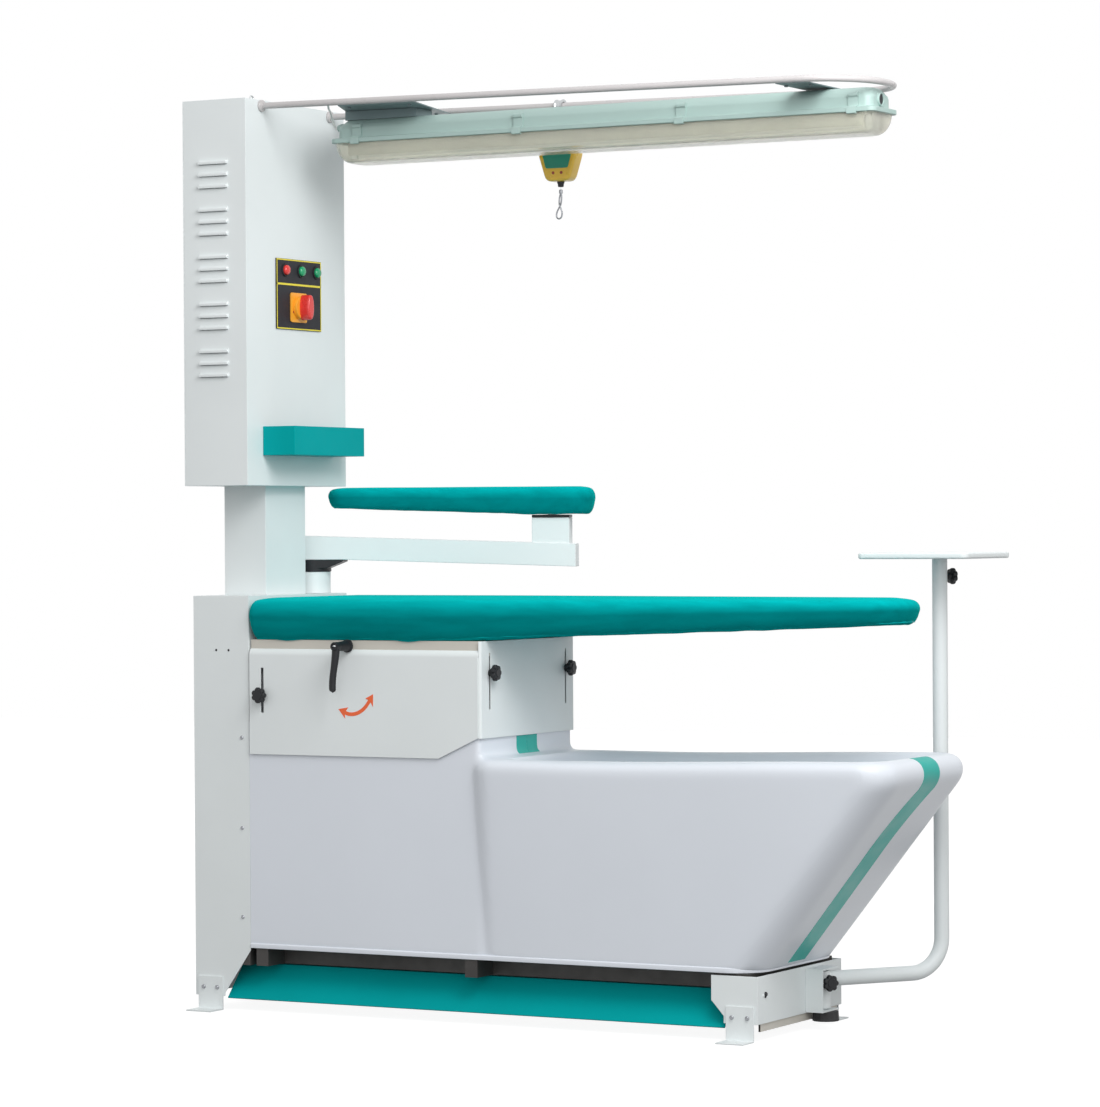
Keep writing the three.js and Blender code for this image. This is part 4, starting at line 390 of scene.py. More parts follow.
def soft_rod(radius, start, end, edge, centre=(0, 0, 0), sides=32):
    """An upright bar with rounded ends."""
    low, high = arc(radius - edge, start + edge, edge, -90, 0, 3), arc(radius - edge, end - edge, edge, 0, 90, 3)
    return lathe(low + high, "z", centre, sides)


def block(x, y, z, edge=0):
    corners = [(a, b, c) for c in z for b in y for a in x]
    faces = [[0, 2, 3, 1], [4, 5, 7, 6], [0, 1, 5, 4], [2, 6, 7, 3], [0, 4, 6, 2], [1, 3, 7, 5]]
    return Shape(corners, faces).bevelled(edge)


def front_prism(outline, y0, y1, edge=0):
    """An outline of (x, z) points, run along Y."""
    return loft([[(u, y, v) for u, v in outline] for y in (y0, y1)]).bevelled(edge)


def side_prism(outline, x0, x1, edge=0):
    """An outline of (y, z) points, run along X."""
    return loft([[(x, u, v) for u, v in outline] for x in (x0, x1)]).bevelled(edge)


def sweep(points, radius, sides=16):
    """A round tube along points."""
    points = [Vector(p) for p in points]
    rings, across = [], None
    for i, p in enumerate(points):
        before, after = points[max(i - 1, 0)], points[min(i + 1, len(points) - 1)]
        ahead = (after - before).normalized()
        if across is None:
            guide = Vector((0, 0, 1)) if abs(ahead.z) < 0.9 else Vector((1, 0, 0))
            across = guide.cross(ahead).normalized()
        across = (across - ahead * across.dot(ahead)).normalized()
        second = ahead.cross(across)
        rings.append([p + (across * c + second * s) * radius for c, s in circle(sides)])
    return loft(rings)


def bent(corners, radius, steps):
    """Rounds each inner corner of a route."""
    corners = [Vector(c) for c in corners]
    route = [corners[0]]
    for a, here, b in zip(corners, corners[1:], corners[2:]):
        back, on = (a - here).normalized(), (b - here).normalized()
        half = back.angle(on) / 2
        centre = here + (back + on).normalized() * (radius / sin(half))
        start, end = (here + side * (radius / tan(half)) - centre for side in (back, on))
        axis, sweep_angle = start.cross(end).normalized(), start.angle(end)
        for k in range(steps + 1):
            route.append(centre + Matrix.Rotation(sweep_angle * k / steps, 3, axis) @ start)
    return route + [corners[-1]]


def catmull(points, steps):
    """A smooth run through points."""
    out = []
    for i in range(len(points) - 1):
        p0, p1 = points[max(i - 1, 0)], points[i]
        p2, p3 = points[i + 1], points[min(i + 2, len(points) - 1)]
        for k in range(steps):
            t = k / steps
            out.append(tuple(
                0.5 * (2 * b + (c - a) * t + (2 * a - 5 * b + 4 * c - d) * t * t + (3 * b - a - 3 * c + d) * t ** 3)
                for a, b, c, d in zip(p0, p1, p2, p3)
            ))
    return out + [tuple(points[-1])]


def arc(cx, cy, radius, start, end, steps):
    turns = [radians(start + (end - start) * i / steps) for i in range(steps + 1)]
    return [(cx + radius * cos(a), cy + radius * sin(a)) for a in turns]


def rounded(x0, x1, y0, y1, radius, steps=8):
    """A rectangle's outline with round corners."""
    r = min(radius, (x1 - x0) / 2 - 0.1, (y1 - y0) / 2 - 0.1)
    return (arc(x1 - r, y0 + r, r, -90, 0, steps) + arc(x1 - r, y1 - r, r, 0, 90, steps)
            + arc(x0 + r, y1 - r, r, 90, 180, steps) + arc(x0 + r, y0 + r, r, 180, 270, steps))


def soft_outline(points, radius, steps=5):
    """A closed outline with its corners rounded."""
    out = []
    for i, p in enumerate(points):
        here = Vector(p)
        back, on = (Vector(points[i - 1]) - here), (Vector(points[(i + 1) % len(points)]) - here)
        r = min(radius, back.length * 0.45, on.length * 0.45)
        a, b = here + back.normalized() * r, here + on.normalized() * r
        for k in range(steps + 1):
            t = k / steps
            out.append(a * (1 - t) ** 2 + here * 2 * t * (1 - t) + b * t * t)
    return out


def share_of(value, low, high):
    """How far a value is from low to high, from 0 to 1."""
    return min(max((value - low) / (high - low), 0), 1)


def evaluated(obj):
    """The object's mesh with its modifiers applied, and the object gone."""
    graph = bpy.context.evaluated_depsgraph_get()
    made = bpy.data.meshes.new_from_object(obj.evaluated_get(graph), depsgraph=graph)
    bpy.data.objects.remove(obj)
    return made


def cut(mesh, tools, operation="DIFFERENCE"):
    """Cuts tools from a mesh, or joins them to it, one after another."""
    body = new_object("work_body", mesh)
    helpers = [new_object("work_tool", t if isinstance(t, bpy.types.Mesh) else t.mesh("work_tool")) for t in tools]
    for helper in helpers:
        put(body.modifiers.new("cut", "BOOLEAN"), object=helper, operation=operation, solver="EXACT")
    made = evaluated(body)
    for helper in helpers:
        bpy.data.objects.remove(helper)
    return made


def refined(name, material, width):
    """A CAD node's form with its edges rounded."""
    bm = bmesh.new()
    bm.from_mesh(frame["nodes"][name].data)
    bmesh.ops.remove_doubles(bm, verts=bm.verts, dist=0.00002)
    bmesh.ops.dissolve_limit(bm, angle_limit=radians(0.8), verts=bm.verts, edges=bm.edges)
    round_edges(bm, width * MM, 35)
    place(settled(bm, bpy.data.meshes.new(name)), name + "_sheet", material, BODY_OF[name], stands_for=name)


BODY_OF = {n: b for b, members in frame["record"]["behaviour"]["bodies"].items() for n in members}

# Sheet metal and small blocks, with the width of their rounded edges, white unless another paint is named
REFINED = {
    "column_housing": 0.7, "foot_front_left": 0.7, "foot_front_right": 0.7, "foot_rear_left": 0.7,
    "foot_rear_right": 0.7, "end_bracket": 0.8, "skirt_front": 0.6, "skirt_rear": 0.6, "skirt_end": 0.6,
    "pedal": 0.8, "mast": 0.9, "cabinet_shell": 0.6, "cabinet_door": 0.6, "iron_rest": 0.8, "swing_arm": 1.2,
    "tray_socket": 0.7, "arm_post": 0.8, "arm_bearing": 0.8, "sleeve_bearing": 0.8, "foot_switch": 0.8,
    "plenum": 0.5,
}
PAINTED = {"pedal": TEAL, "iron_rest": TEAL, "arm_bearing": BLACK, "sleeve_bearing": BLACK, "foot_switch": BLACK,
           "plenum": CREAM}
for cad_name, edge_width in REFINED.items():
    refined(cad_name, PAINTED.get(cad_name, WHITE), edge_width)

# Nodes whose form stays as it is; the base frame's near black colour is a painted shade for the inside of the base
KEPT = {
    "base_frame": FRAME_PAINTED_SHADE, "fan_housing": ZINC, "fan_impeller": ZINC, "fan_motor": ZINC, "suction_duct": ZINC,
    "support_tower": ZINC, "damper_flap": STEEL, "board_pan": TEAL, "sleeve_pan": STEEL, "pedal_spring": STEEL,
    "tray_socket_foot": RUBBER, "balancer_cable": STEEL,
}
for cad_name, paint in KEPT.items():
    paint_with(frame["nodes"][cad_name].data, paint)


# Padded board covers. Each fold is its place along the board, its width, how far the hem hangs and how far it
# stands out
BOARD = SimpleNamespace(
    heel=4, tip=1481, half=214, nose_half=98, nose=100, corner=17, taper=470, bottom=804.5, rise=37, top=893.5,
    crown=2.4, edge=14, band=40, pad=12, wrinkle=2.2,
    folds=[(92, 26, 3.5, 1.5), (398, 30, 3.5, 2), (610, 60, 1.5, -1.5), (740, 90, -1, 1.2)])
SLEEVE = SimpleNamespace(
    heel=0, tip=600, half=60, nose_half=44, nose=44, corner=54, taper=150, bottom=1074.4, rise=16, top=1134,
    crown=1.5, edge=9, band=0, wrinkle=1.4, folds=[(120, 50, 0.6, -1), (430, 60, 0.5, 1)])
CORNER_STEPS, STRAIGHT_STEPS, TAPER_STEPS, NOSE_STEPS, TOP_STEPS = 8, 26, 52, 20, 10


def plan_half(b, inset):
    """One side of a padded board seen from above: heel corner, straight run, taper and half of the nose."""
    heel, tip = b.heel + inset, b.tip - inset
    half, nose_half = b.half - inset, b.nose_half - inset
    nose = b.nose - inset * 0.8
    corner = max(b.corner - inset, b.corner / 5)
    side = arc(heel + corner, -half + corner, corner, 180, 270, CORNER_STEPS)
    first, last = side[-1][0], tip - nose
    side += [(first + (b.taper - first) * i / STRAIGHT_STEPS, -half) for i in range(1, STRAIGHT_STEPS + 1)]
    side += [(b.taper + (last - b.taper) * t, -half + (half - nose_half) * t)
             for t in (i / TAPER_STEPS for i in range(1, TAPER_STEPS))]
    side += [(x, y * nose_half / nose) for x, y in arc(last, 0, nose, -90, 0, NOSE_STEPS)]
    # The bends at both ends of the taper are smoothed
    for _ in range(6):
        for j in (CORNER_STEPS + STRAIGHT_STEPS, len(side) - NOSE_STEPS - 1):
            for i in range(j - 3, j + 4):
                before, here, after = side[i - 1], side[i], side[i + 1]
                side[i] = (here[0], (before[1] + 2 * here[1] + after[1]) / 4)
    return side


def plan_ring(b, inset):
    near = plan_half(b, inset)
    return near + [(x, -y) for x, y in near[-2::-1]]


def padded_cover(b):
    """A tight cover: rolled edges, full sides, a crowned top and a hem drawn in under the pan."""
    edge, wrinkle = b.edge, b.wrinkle
    # Each control is how far in from the outline, the share of the side's height and an extra rise
    controls = [(edge * 2.2, 0, 0.4), (edge * 1.5, 0, 0.1), (edge * 1.05, 0.03, edge / 8), (edge * 0.62, 0.14, 0),
                (edge * 0.26, 0.29, 0), (edge * 0.02, 0.46, 0), (-edge * 0.12, 0.62, 0), (edge * 0.1, 0.8, 0),
                (edge * 0.75, 0.94, 0), (edge * 1.9, 1, 0.2), (edge * 3.4, 1, b.crown * 0.8 + 0.6)]
    base = plan_ring(b, 0)
    outward = [Vector((p[0] - q[0], p[1] - q[1], 0)).normalized() for p, q in zip(base, plan_ring(b, 10))]
    run = [0]
    for p, q in zip(base, base[1:]):
        run.append(run[-1] + dist(p, q))

    def ring(inset, share, rise):
        out = []
        for i, (x, y) in enumerate(plan_ring(b, inset)):
            low = b.bottom + b.rise * max(0, (x - b.taper) / (b.tip - b.taper))
            z = low + (b.top - low) * share + rise
            v = Vector((x, y, z))
            side_part = max(0, 1 - abs(share - 0.3) / 0.55) if inset < edge * 1.2 else 0
            ripple = noise.noise(Vector((x * 0.011, y * 0.011, z * 0.02 + 3.1)))
            pleat = noise.noise(Vector((run[i] * 0.035, z * 0.012, 7.7)))
            v += outward[i] * wrinkle * (side_part * ripple * 0.9 + (1 - share) * pleat * 0.55)
            hem_part = max(0, 1 - share / 0.22)
            v.z += wrinkle * hem_part * 0.7 * noise.noise(Vector((run[i] * 0.028, 1.3, 2.2)))
            for x_at, width, drop, push in b.folds if y < 0 else ():
                bell = exp(-((x - x_at) / width) ** 2)
                v.z -= drop * bell * max(0, 1 - share / 0.3)
                v += outward[i] * push * bell * max(0, 1 - share / 0.6)
            out.append(v)
        return out

    rings = [ring(*p) for p in catmull(controls, 4)]
    # The top closes on the board's own axis, with the faint hollows of a used pad
    last = rings[-1]
    x0, x1 = b.heel + b.half * 0.9, b.tip - b.nose * 1.1
    for k in range(1, TOP_STEPS + 1):
        t = k / TOP_STEPS
        closer = []
        for v in last:
            p = v.lerp(Vector((min(max(v.x, x0), x1), 0, v.z)), t)
            wave = noise.noise(Vector((p.x * 0.009, p.y * 0.013, 5.5)))
            p.z += b.crown * 0.25 * sin(t * pi / 2) + wrinkle * 0.35 * t * wave
            closer.append(p)
        rings.append(closer)
    if not b.band:
        return loft([ring(edge * 4, 0, 0.4)] + rings, True, False)
    # Under the board the hem turns up, and the inside follows the pan and the pad
    pan, band = edge + 0.5, b.band
    pad_foot = [(v.x, v.y, b.top - b.pad) for v in ring(pan, 0, 0)]
    turned_hem = [ring(pan, 0, 12), ring(pan, 0, 2.7), ring(band, 0, 2.7), ring(band + 1.2, 0, 1.6), ring(band, 0, 0.5)]
    return loft([pad_foot] + turned_hem + rings, True, False)


SLEEVE_PLACE = shift(-62, 360, 0) @ turn("Z", 23) @ shift(638, 0, 0) @ turn("Z", 180)
for form, matrix, cad_name, body in ((BOARD, shift(0, AXIS, 0), "board_cover", "board_group"),
                                     (SLEEVE, SLEEVE_PLACE, "sleeve_cover", "sleeve_board")):
    piece(padded_cover(form).moved(matrix), cad_name + "_cloth", CLOTH, body, 60, cad_name)


# Moulded body
BODY_FOOT, TUB_RIM, RIM_RADIUS, HEM = 138, 560, 26, 2.4
TUB_LEFT, TUB_FOOT_END, TUB_TIP_END, TUB_BULGE, TUB_CORNER = 540, 1213, 1549, 23, 70
TROUGH_LEFT, TROUGH_FLOOR, TROUGH_LIP, TROUGH_WALL, TROUGH_FLOOR_INSET = 612, 350, 42, 58, 92
TROUGH_DROP, TROUGH_CORNER, TROUGH_END_RIM = 18, 55, 36
NECK_RIGHT, NECK_TOP, BODY_LEFT, BODY_WALL = 575, 640, 0.6, 5
# The roll of the rim at the tub's end, and how much the rim rises towards it
END_ROLL, ROLL_X, ROLL_Z = 33, 1480.7, 527
RIM_LIFT, LIFT_FROM, LIFT_TO = 12, 780, 1480
TUB_STEPS = 14


def tub_wall(z):
    return TUB_FOOT_END + (TUB_TIP_END - TUB_FOOT_END) * (z - BODY_FOOT) / (TUB_RIM - BODY_FOOT)


def tub_end(z):
    """The tub's far end at a height: the leaning wall, then the wide roll of the rim."""
    lean = atan2(TUB_TIP_END - TUB_FOOT_END, TUB_RIM - BODY_FOOT)
    if z <= ROLL_Z - END_ROLL * sin(lean):
        return tub_wall(z)
    return ROLL_X + sqrt(max(END_ROLL ** 2 - (z - ROLL_Z) ** 2, 0))


def tub_ring(z, inset, end_inset=None):
    end = tub_end(z) - (inset if end_inset is None else end_inset)
    swell = TUB_BULGE * share_of(z, BODY_FOOT, TUB_RIM)
    return flat(rounded(TUB_LEFT + inset, end, inset - swell, DEPTH + swell - inset, TUB_CORNER - inset, TUB_STEPS), z)


def trough_ring(z, inset, grow, share):
    left = TROUGH_LEFT - grow + (TROUGH_FLOOR_INSET - TROUGH_WALL) * share
    end = tub_wall(z) - TROUGH_END_RIM - inset + grow
    swell = TUB_BULGE * share_of(z, BODY_FOOT, TUB_RIM) - inset + grow
    return flat(rounded(left, end, -swell, DEPTH + swell, TROUGH_CORNER + grow, TUB_STEPS), z)


def trough_shape(grow, top):
    lip = TROUGH_LIP + (TROUGH_WALL - TROUGH_LIP) / 3
    return loft([
        trough_ring(TROUGH_FLOOR - grow, TROUGH_FLOOR_INSET, grow, 1),
        trough_ring(TUB_RIM - TROUGH_DROP, TROUGH_WALL, grow, 0),
        trough_ring(TUB_RIM - TROUGH_DROP / 3, lip, grow, 0),
        trough_ring(top, TROUGH_LIP, grow, 0),
    ])


def raised(mesh):
    """The skin with its rim rising a little towards the end."""
    for v in mesh.vertices:
        p = (v.co - ZERO) / MM
        run = share_of(p.x, LIFT_FROM, LIFT_TO)
        v.co.z += RIM_LIFT * run * run * (3 - 2 * run) * share_of(p.z, BODY_FOOT, TUB_RIM) * MM
    bm = bmesh.new()
    bm.from_mesh(mesh)
    return settled(bm, mesh)


def moulding():
    """Box and tub joined, worn round by a voxel remesh and smoothing, then hollowed."""
    shoulder, inset = TUB_RIM - RIM_RADIUS, BODY_WALL + 2
    levels = [BODY_FOOT + (shoulder - BODY_FOOT) * i / 28 for i in range(28)]
    rim = arc(0, shoulder, RIM_RADIUS, 0, 90, 8)
    tub = loft([tub_ring(z, 0) for z in levels] + [tub_ring(z, RIM_RADIUS - across, 0) for across, z in rim])
    box = block([BODY_LEFT - 60, NECK_RIGHT], [0, DEPTH], [BODY_FOOT, NECK_TOP])
    outer = cut(box.mesh("moulding_box"), [tub], "UNION")
    body = new_object("moulding_skin", cut(outer, [trough_shape(0, TUB_RIM + 2)]))
    put(body.modifiers.new("skin", "REMESH"), mode="VOXEL", voxel_size=6 * MM)
    put(body.modifiers.new("soft", "SMOOTH"), factor=0.5, iterations=9)
    skin = evaluated(body)
    # What is taken away: the hollows of box and tub, the open foot and the side at the column
    box_hollow = block([BODY_LEFT - 20, NECK_RIGHT - BODY_WALL], [BODY_WALL, DEPTH - BODY_WALL],
                       [BODY_FOOT - 20, NECK_TOP + 20])
    tub_hollow = loft([tub_ring(BODY_FOOT - 20, inset), tub_ring(BODY_FOOT, inset), tub_ring(shoulder, inset),
                       tub_ring(shoulder + RIM_RADIUS / 2, RIM_RADIUS / 2 + BODY_WALL)])
    tub_hollow = cut(tub_hollow.mesh("moulding_hollow"), [trough_shape(BODY_WALL, TUB_RIM + 2)])
    foot = block([BODY_LEFT - 20, TUB_TIP_END], [-60, DEPTH + 60], [BODY_FOOT - 30, BODY_FOOT + 2])
    column_side = block([BODY_LEFT - 90, BODY_LEFT], [-40, DEPTH + 40], [BODY_FOOT - 40, NECK_TOP + 40])
    return raised(cut(skin, [box_hollow, tub_hollow, foot, column_side]))


moulded = place(moulding(), "body_moulding", MOULD, "base", 32, "body_shell")


def hem_strip():
    """The thicker hem round the foot of the moulding."""
    right_half = tub_ring(BODY_FOOT, 0)[:2 * (TUB_STEPS + 1)]
    line = [Vector(p) for p in ((BODY_LEFT + 1, 0, 0), (TUB_LEFT, 0, 0), *right_half, (TUB_LEFT, DEPTH, 0),
                                (BODY_LEFT + 1, DEPTH, 0))]
    profile = [(-3.5, 0.3), (HEM - 0.8, 0), (HEM, 0.8), (HEM, 8.4), (HEM - 0.8, 9.4), (0.4, 10.8), (-3.5, 11)]
    rings = []
    for i, p in enumerate(line):
        ahead = line[min(i + 1, len(line) - 1)] - line[max(i - 1, 0)]
        out = Vector((ahead.y, -ahead.x, 0)).normalized()
        rings.append([(p.x + out.x * u, p.y + out.y * u, BODY_FOOT + v) for u, v in profile])
    return loft(rings)


piece(hem_strip(), "moulding_hem", MOULD, sharp=50)

# Tape stripes that follow the moulding's skin
TAPE_ABOVE, TAPE_BELOW = 0.5, 0.4
STRIPE_NEAR, STRIPE_WIDE, STRIPE_ASIDE = 134, 80, 34
skin_tree = BVHTree.FromPolygons([v.co.copy() for v in moulded.data.vertices],
                                 [list(p.vertices) for p in moulded.data.polygons])


def on_skin(origin, direction):
    """Where a ray from outside meets the moulding, in millimetres, and the normal there."""
    hit, normal, _, _ = skin_tree.ray_cast(at(origin), Vector(direction).normalized())
    return ((hit - ZERO) / MM, normal) if hit else (None, None)


def ribbon(rows, name):
    """A thin tape over the skin; each row runs across it, as (point, normal) pairs."""
    rows = [row for row in rows if all(p is not None for p, _ in row)]
    piece(loft([[p + n * TAPE_ABOVE for p, n in row] + [p - n * TAPE_BELOW for p, n in row[::-1]] for row in rows]),
          name, TEAL_TAPE, sharp=50)


def end_stripe():
    """Rows from the hem up the tub's sloping end and over the roll of its rim."""
    ys = [STRIPE_NEAR + STRIPE_WIDE * k / 8 for k in range(9)]
    rows = []
    for z in (150 + 350 * i / 35 for i in range(36)):
        aside = STRIPE_ASIDE * share_of(z, 380, 510) ** 2
        rows.append([on_skin((2200, y + aside, z), (-1, 0, 0)) for y in ys])
    for angle in (radians(-58 + 148 * i / 30) for i in range(31)):
        out = Vector((cos(angle), 0, sin(angle)))
        rows.append([on_skin(Vector((ROLL_X, y + STRIPE_ASIDE, ROLL_Z + RIM_LIFT)) + out * 200, -out) for y in ys])
    return rows


ribbon(end_stripe(), "tub_end_stripe")
for number, start in ((1, 157), (2, 202)):
    ribbon([[on_skin((900, start + 44 * k / 6, 563 + 38 * i / 8), (-1, 0, 0)) for k in range(7)] for i in range(9)],
           f"neck_stripe_{number}")


# Turned knobs: seven lobes round a neck, with a cap in the middle
KNOB_LOBES, KNOB_SIDES, STUD_RADIUS = 7, 84, 2.3
END_KNOB_Z, SIDE_KNOB_X, SIDE_KNOB_Z, TRAY_ARM_KNOB_Z, TRAY_POST_KNOB_Z = 739, 37.9, 686, 98.6, 936
# Each ring of a knob is its radius, its height and the depth of its valleys
KNOB_RINGS = [(8, 0, 0), (7.4, 4, 0), (8.2, 8.2, 0), (14.1, 9, 2), (16.6, 9.7, 3.4), (17.5, 11.4, 3.8),
              (17.5, 16.6, 3.8), (16.6, 18.6, 3.6), (14.5, 19.8, 2.6), (11.5, 20.2, 0.6), (9.8, 20.3, 0),
              (9.4, 21.6, 0), (8.4, 22, 0), (6.4, 21.7, 0)]


def star_knob(name, body, origin, direction, stud):
    lobes = [1 - abs(cos(pi * i / KNOB_SIDES * KNOB_LOBES)) ** 0.8 for i in range(KNOB_SIDES)]
    rings = [flat([((radius - valley * lobe) * c, (radius - valley * lobe) * s)
                   for lobe, (c, s) in zip(lobes, circle(KNOB_SIDES))], z) for radius, z, valley in KNOB_RINGS]
    shape = loft(rings).join(soft_rod(STUD_RADIUS, -stud, 1, 0.3, sides=24))
    facing = Vector(direction).normalized().to_track_quat("Z", "Y").to_matrix().to_4x4()
    piece(shape.moved(shift(*origin) @ facing), name + "_star", BLACK, body, 30, name)


TRAY_PIVOT, TRAY_TURN, TRAY_REACH = Vector((1240, 262, 0)), 55, 290
along, aside = (Vector((cos(radians(a)), sin(radians(a)), 0)) for a in (TRAY_TURN, TRAY_TURN - 90))
for side, y in (("front", 36), ("rear", 368)):
    star_knob("knob_end_" + side, "end_knob_" + side, (580.3, y, END_KNOB_Z), (1, 0, 0), 15.3)
for side, y, facing in (("front", -5.3, -1), ("rear", 409.3, 1)):
    star_knob("knob_" + side, "side_knob_" + side, (SIDE_KNOB_X, y, SIDE_KNOB_Z), (0, facing, 0), 17)
star_knob("knob_tray_arm", "tray_arm_knob", TRAY_PIVOT + aside * 19.9 + Vector((0, 0, TRAY_ARM_KNOB_Z)), aside, 3)
star_knob("knob_tray_post", "tray_post_knob",
          TRAY_PIVOT + along * (TRAY_REACH + 16.3) + Vector((0, 0, TRAY_POST_KNOB_Z)), along, 3.3)


# Damper lever: flanged boss, round head and a bowed handle
LEVER_X, LEVER_Z, LEVER_FRONT, LEVER_LONG, LEVER_STEPS = 255, 794, -53, 98, 28


def damper_handle():
    rings = []
    for i in range(LEVER_STEPS + 1):
        share = 1 - i / LEVER_STEPS
        r = 9 - 2.8 * share if share < 0.5 else 7.6 - 0.2 * (share - 0.5)
        r *= sqrt(max(0.02, 1 - max(0, (share - 0.93) / 0.07) ** 2))
        x = LEVER_X - 12 * sin(pi * share * 0.75) * share
        rings.append([(x + r * c, LEVER_FRONT + r * 0.92 * s, LEVER_Z - LEVER_LONG * share) for c, s in circle(24)])
    return loft(rings)


lever_centre = (LEVER_X, 0, LEVER_Z)
lever = damper_handle().join(
    lathe([(8.6, -48), (9.3, -44), (11.4, -16), (12, -10.8), (13.4, -10.4), (14, -9.4), (14, -5.7)], "y",
          lever_centre, 36),
    lathe([(3.6, -58.4), (5.4, -58.6), (5.8, -60.8), (6.8, -61.9), (8.6, -61.6), (9.5, -60.2), (9.5, -45.5),
           (8.8, -44.4)], "y", lever_centre, 36))
piece(lever, "damper_handle", BLACK, "damper", 40, "damper_lever")
piece(lathe([(2, -58), (3.5, -58.2), (3.5, -60.2), (2.8, -60.8), (1.4, -60.9), (1.2, -60.2)], "y", lever_centre, 18),
      "damper_handle_screw", STEEL, "damper", 30)


def turn_arrow():
    """A double headed arrow bent round the lever's sweep."""
    spine = catmull([(248, 651.5), (256, 649), (267, 648.6), (279, 651.5), (291, 658), (300, 666.5), (308, 677)], 5)
    line, upper, lower = [Vector(p) for p in spine], [], []
    for i, p in enumerate(line):
        ahead = (line[min(i + 1, len(line) - 1)] - line[max(i - 1, 0)]).normalized()
        side = Vector((-ahead.y, ahead.x)) * 4
        upper.append(p + side)
        lower.append(p - side)
    left = [(247.5, 638.6), (230.5, 659), (255.5, 663)]
    return left + upper + [(298, 682.5), (317.5, 692), (317, 664.5)] + lower[::-1]


piece(front_prism(turn_arrow(), -5.4, -4.8), "turn_arrow", ORANGE, "board_group")


# Overhead rail with its two plates
RAIL = shift(0, AXIS, 1965) @ turn("Y", 0.8)
RAIL_HALF, RAIL_REACH, RAIL_START, RAIL_TUBE, RAIL_BEND = 140, 1422, 0.3, 7, 130
PLATE_FOOT, PLATE_HEAD = -8.25, -5.75
route = bent([(RAIL_START, -RAIL_HALF, 0), (RAIL_REACH, -RAIL_HALF, 0), (RAIL_REACH, RAIL_HALF, 0),
              (RAIL_START, RAIL_HALF, 0)], RAIL_BEND, 28)
rail_loop = sweep(route, RAIL_TUBE, 28)
rail_loop.join(lathes([(7.2, 0.4), (13, 0.4), (13, 4.8), (12, 5.9), (9.4, 6.2), (8.6, 8.5), (7.2, 9)], "x",
                      [(0, -RAIL_HALF, 0), (0, RAIL_HALF, 0)], 32))
# The rail takes the grey painted shade
piece(rail_loop.moved(RAIL), "rail_loop", RAIL_PAINTED_SHADE, "base", 40, "rail")


def rail_plate(near, far, name):
    a, b, d, c = (Vector((x, y, 0)) for y, xs in ((-RAIL_HALF, near), (RAIL_HALF, far)) for x in xs)
    plate = loft([flat([p.xy for p in (a, b, c, d)], z) for z in (PLATE_FOOT, PLATE_HEAD)]).bevelled(0.5)
    bolts = [a.lerp(b, u).lerp(d.lerp(c, u), v) for u in (0.12, 0.88) for v in (0.12, 0.88)]
    bolts = lathes([(4, -11.8), (4.6, -11.2), (4.6, -8.1)], "z", bolts, 6)
    # The plate takes the dark grey painted shade
    piece(plate.moved(RAIL), name, PLATE_PAINTED_SHADE)
    piece(bolts.moved(RAIL), name + "_bolts", DARK_STEEL, sharp=30)


rail_plate((197, 389), (73, 319), "rail_plate_wide")
rail_plate((1240, 1312), (1240, 1312), "rail_plate_strap")

# Dark channel that fills the room between the wide plate and the lamp's roof, a painted shade standing in for the
# shadow of the plate there
LAMP_TOP = 1935
painted_shade_channel = front_prism([(150, 1934), (330, 1934), (330, 1951.9), (150, 1954.4)], AXIS - 34, AXIS + 34, 0.8)
piece(painted_shade_channel, "lamp_painted_shade_channel", PLATE_PAINTED_SHADE)

# Batten lamp that hangs level under the plates
LAMP = shift(0, AXIS, LAMP_TOP)
LAMP_X0, LAMP_X1 = 125, 1424
LAMP_CLIPS = [LAMP_X0 + (LAMP_X1 - LAMP_X0) * share for share in (0.0416, 0.351, 0.6497, 0.9515)]
# Each ring of the lamp is its height, how far in its ends are and its half width, and the roof's own corner
HOUSING = [(-2.6, 25, 27), (-20, 15, 46.5), (-52, 15, 46.5), (-52, 1, 61), (-51, 0, 62), (-43, 0, 62), (-42, 1, 61),
           (-41.4, 10, 52), (-39, 12, 50), (-22, 12, 50), (-16, 13, 48.4), (-9, 17, 42, 20), (-3.5, 20, 35, 20),
           (-0.9, 22.5, 30.5, 20), (0, 25, 27, 20)]
DIFFUSER = [(-95, 38, 28), (-94.6, 33, 34), (-93, 28.5, 40), (-89.5, 23, 45.5), (-84, 18, 49.6), (-76, 13, 52.8),
            (-66, 9.4, 55), (-52.5, 7, 56)]
DIFFUSER_WALL = 2.2
CLIP = [(49.6, -10.5), (55.4, -12), (57.6, -15), (57.6, -19), (54.4, -22), (54, -37), (55, -40), (63.2, -40.9),
        (64.4, -42.2), (64.4, -54.8), (63.2, -56), (58.4, -56), (58.4, -54.3), (62.8, -54.3), (62.8, -42.6),
        (51.2, -42.4)]


def lamp_ring(z, end, half, corner=18):
    return flat(rounded(LAMP_X0 + end, LAMP_X1 - end, -half, half, corner, 10), z)


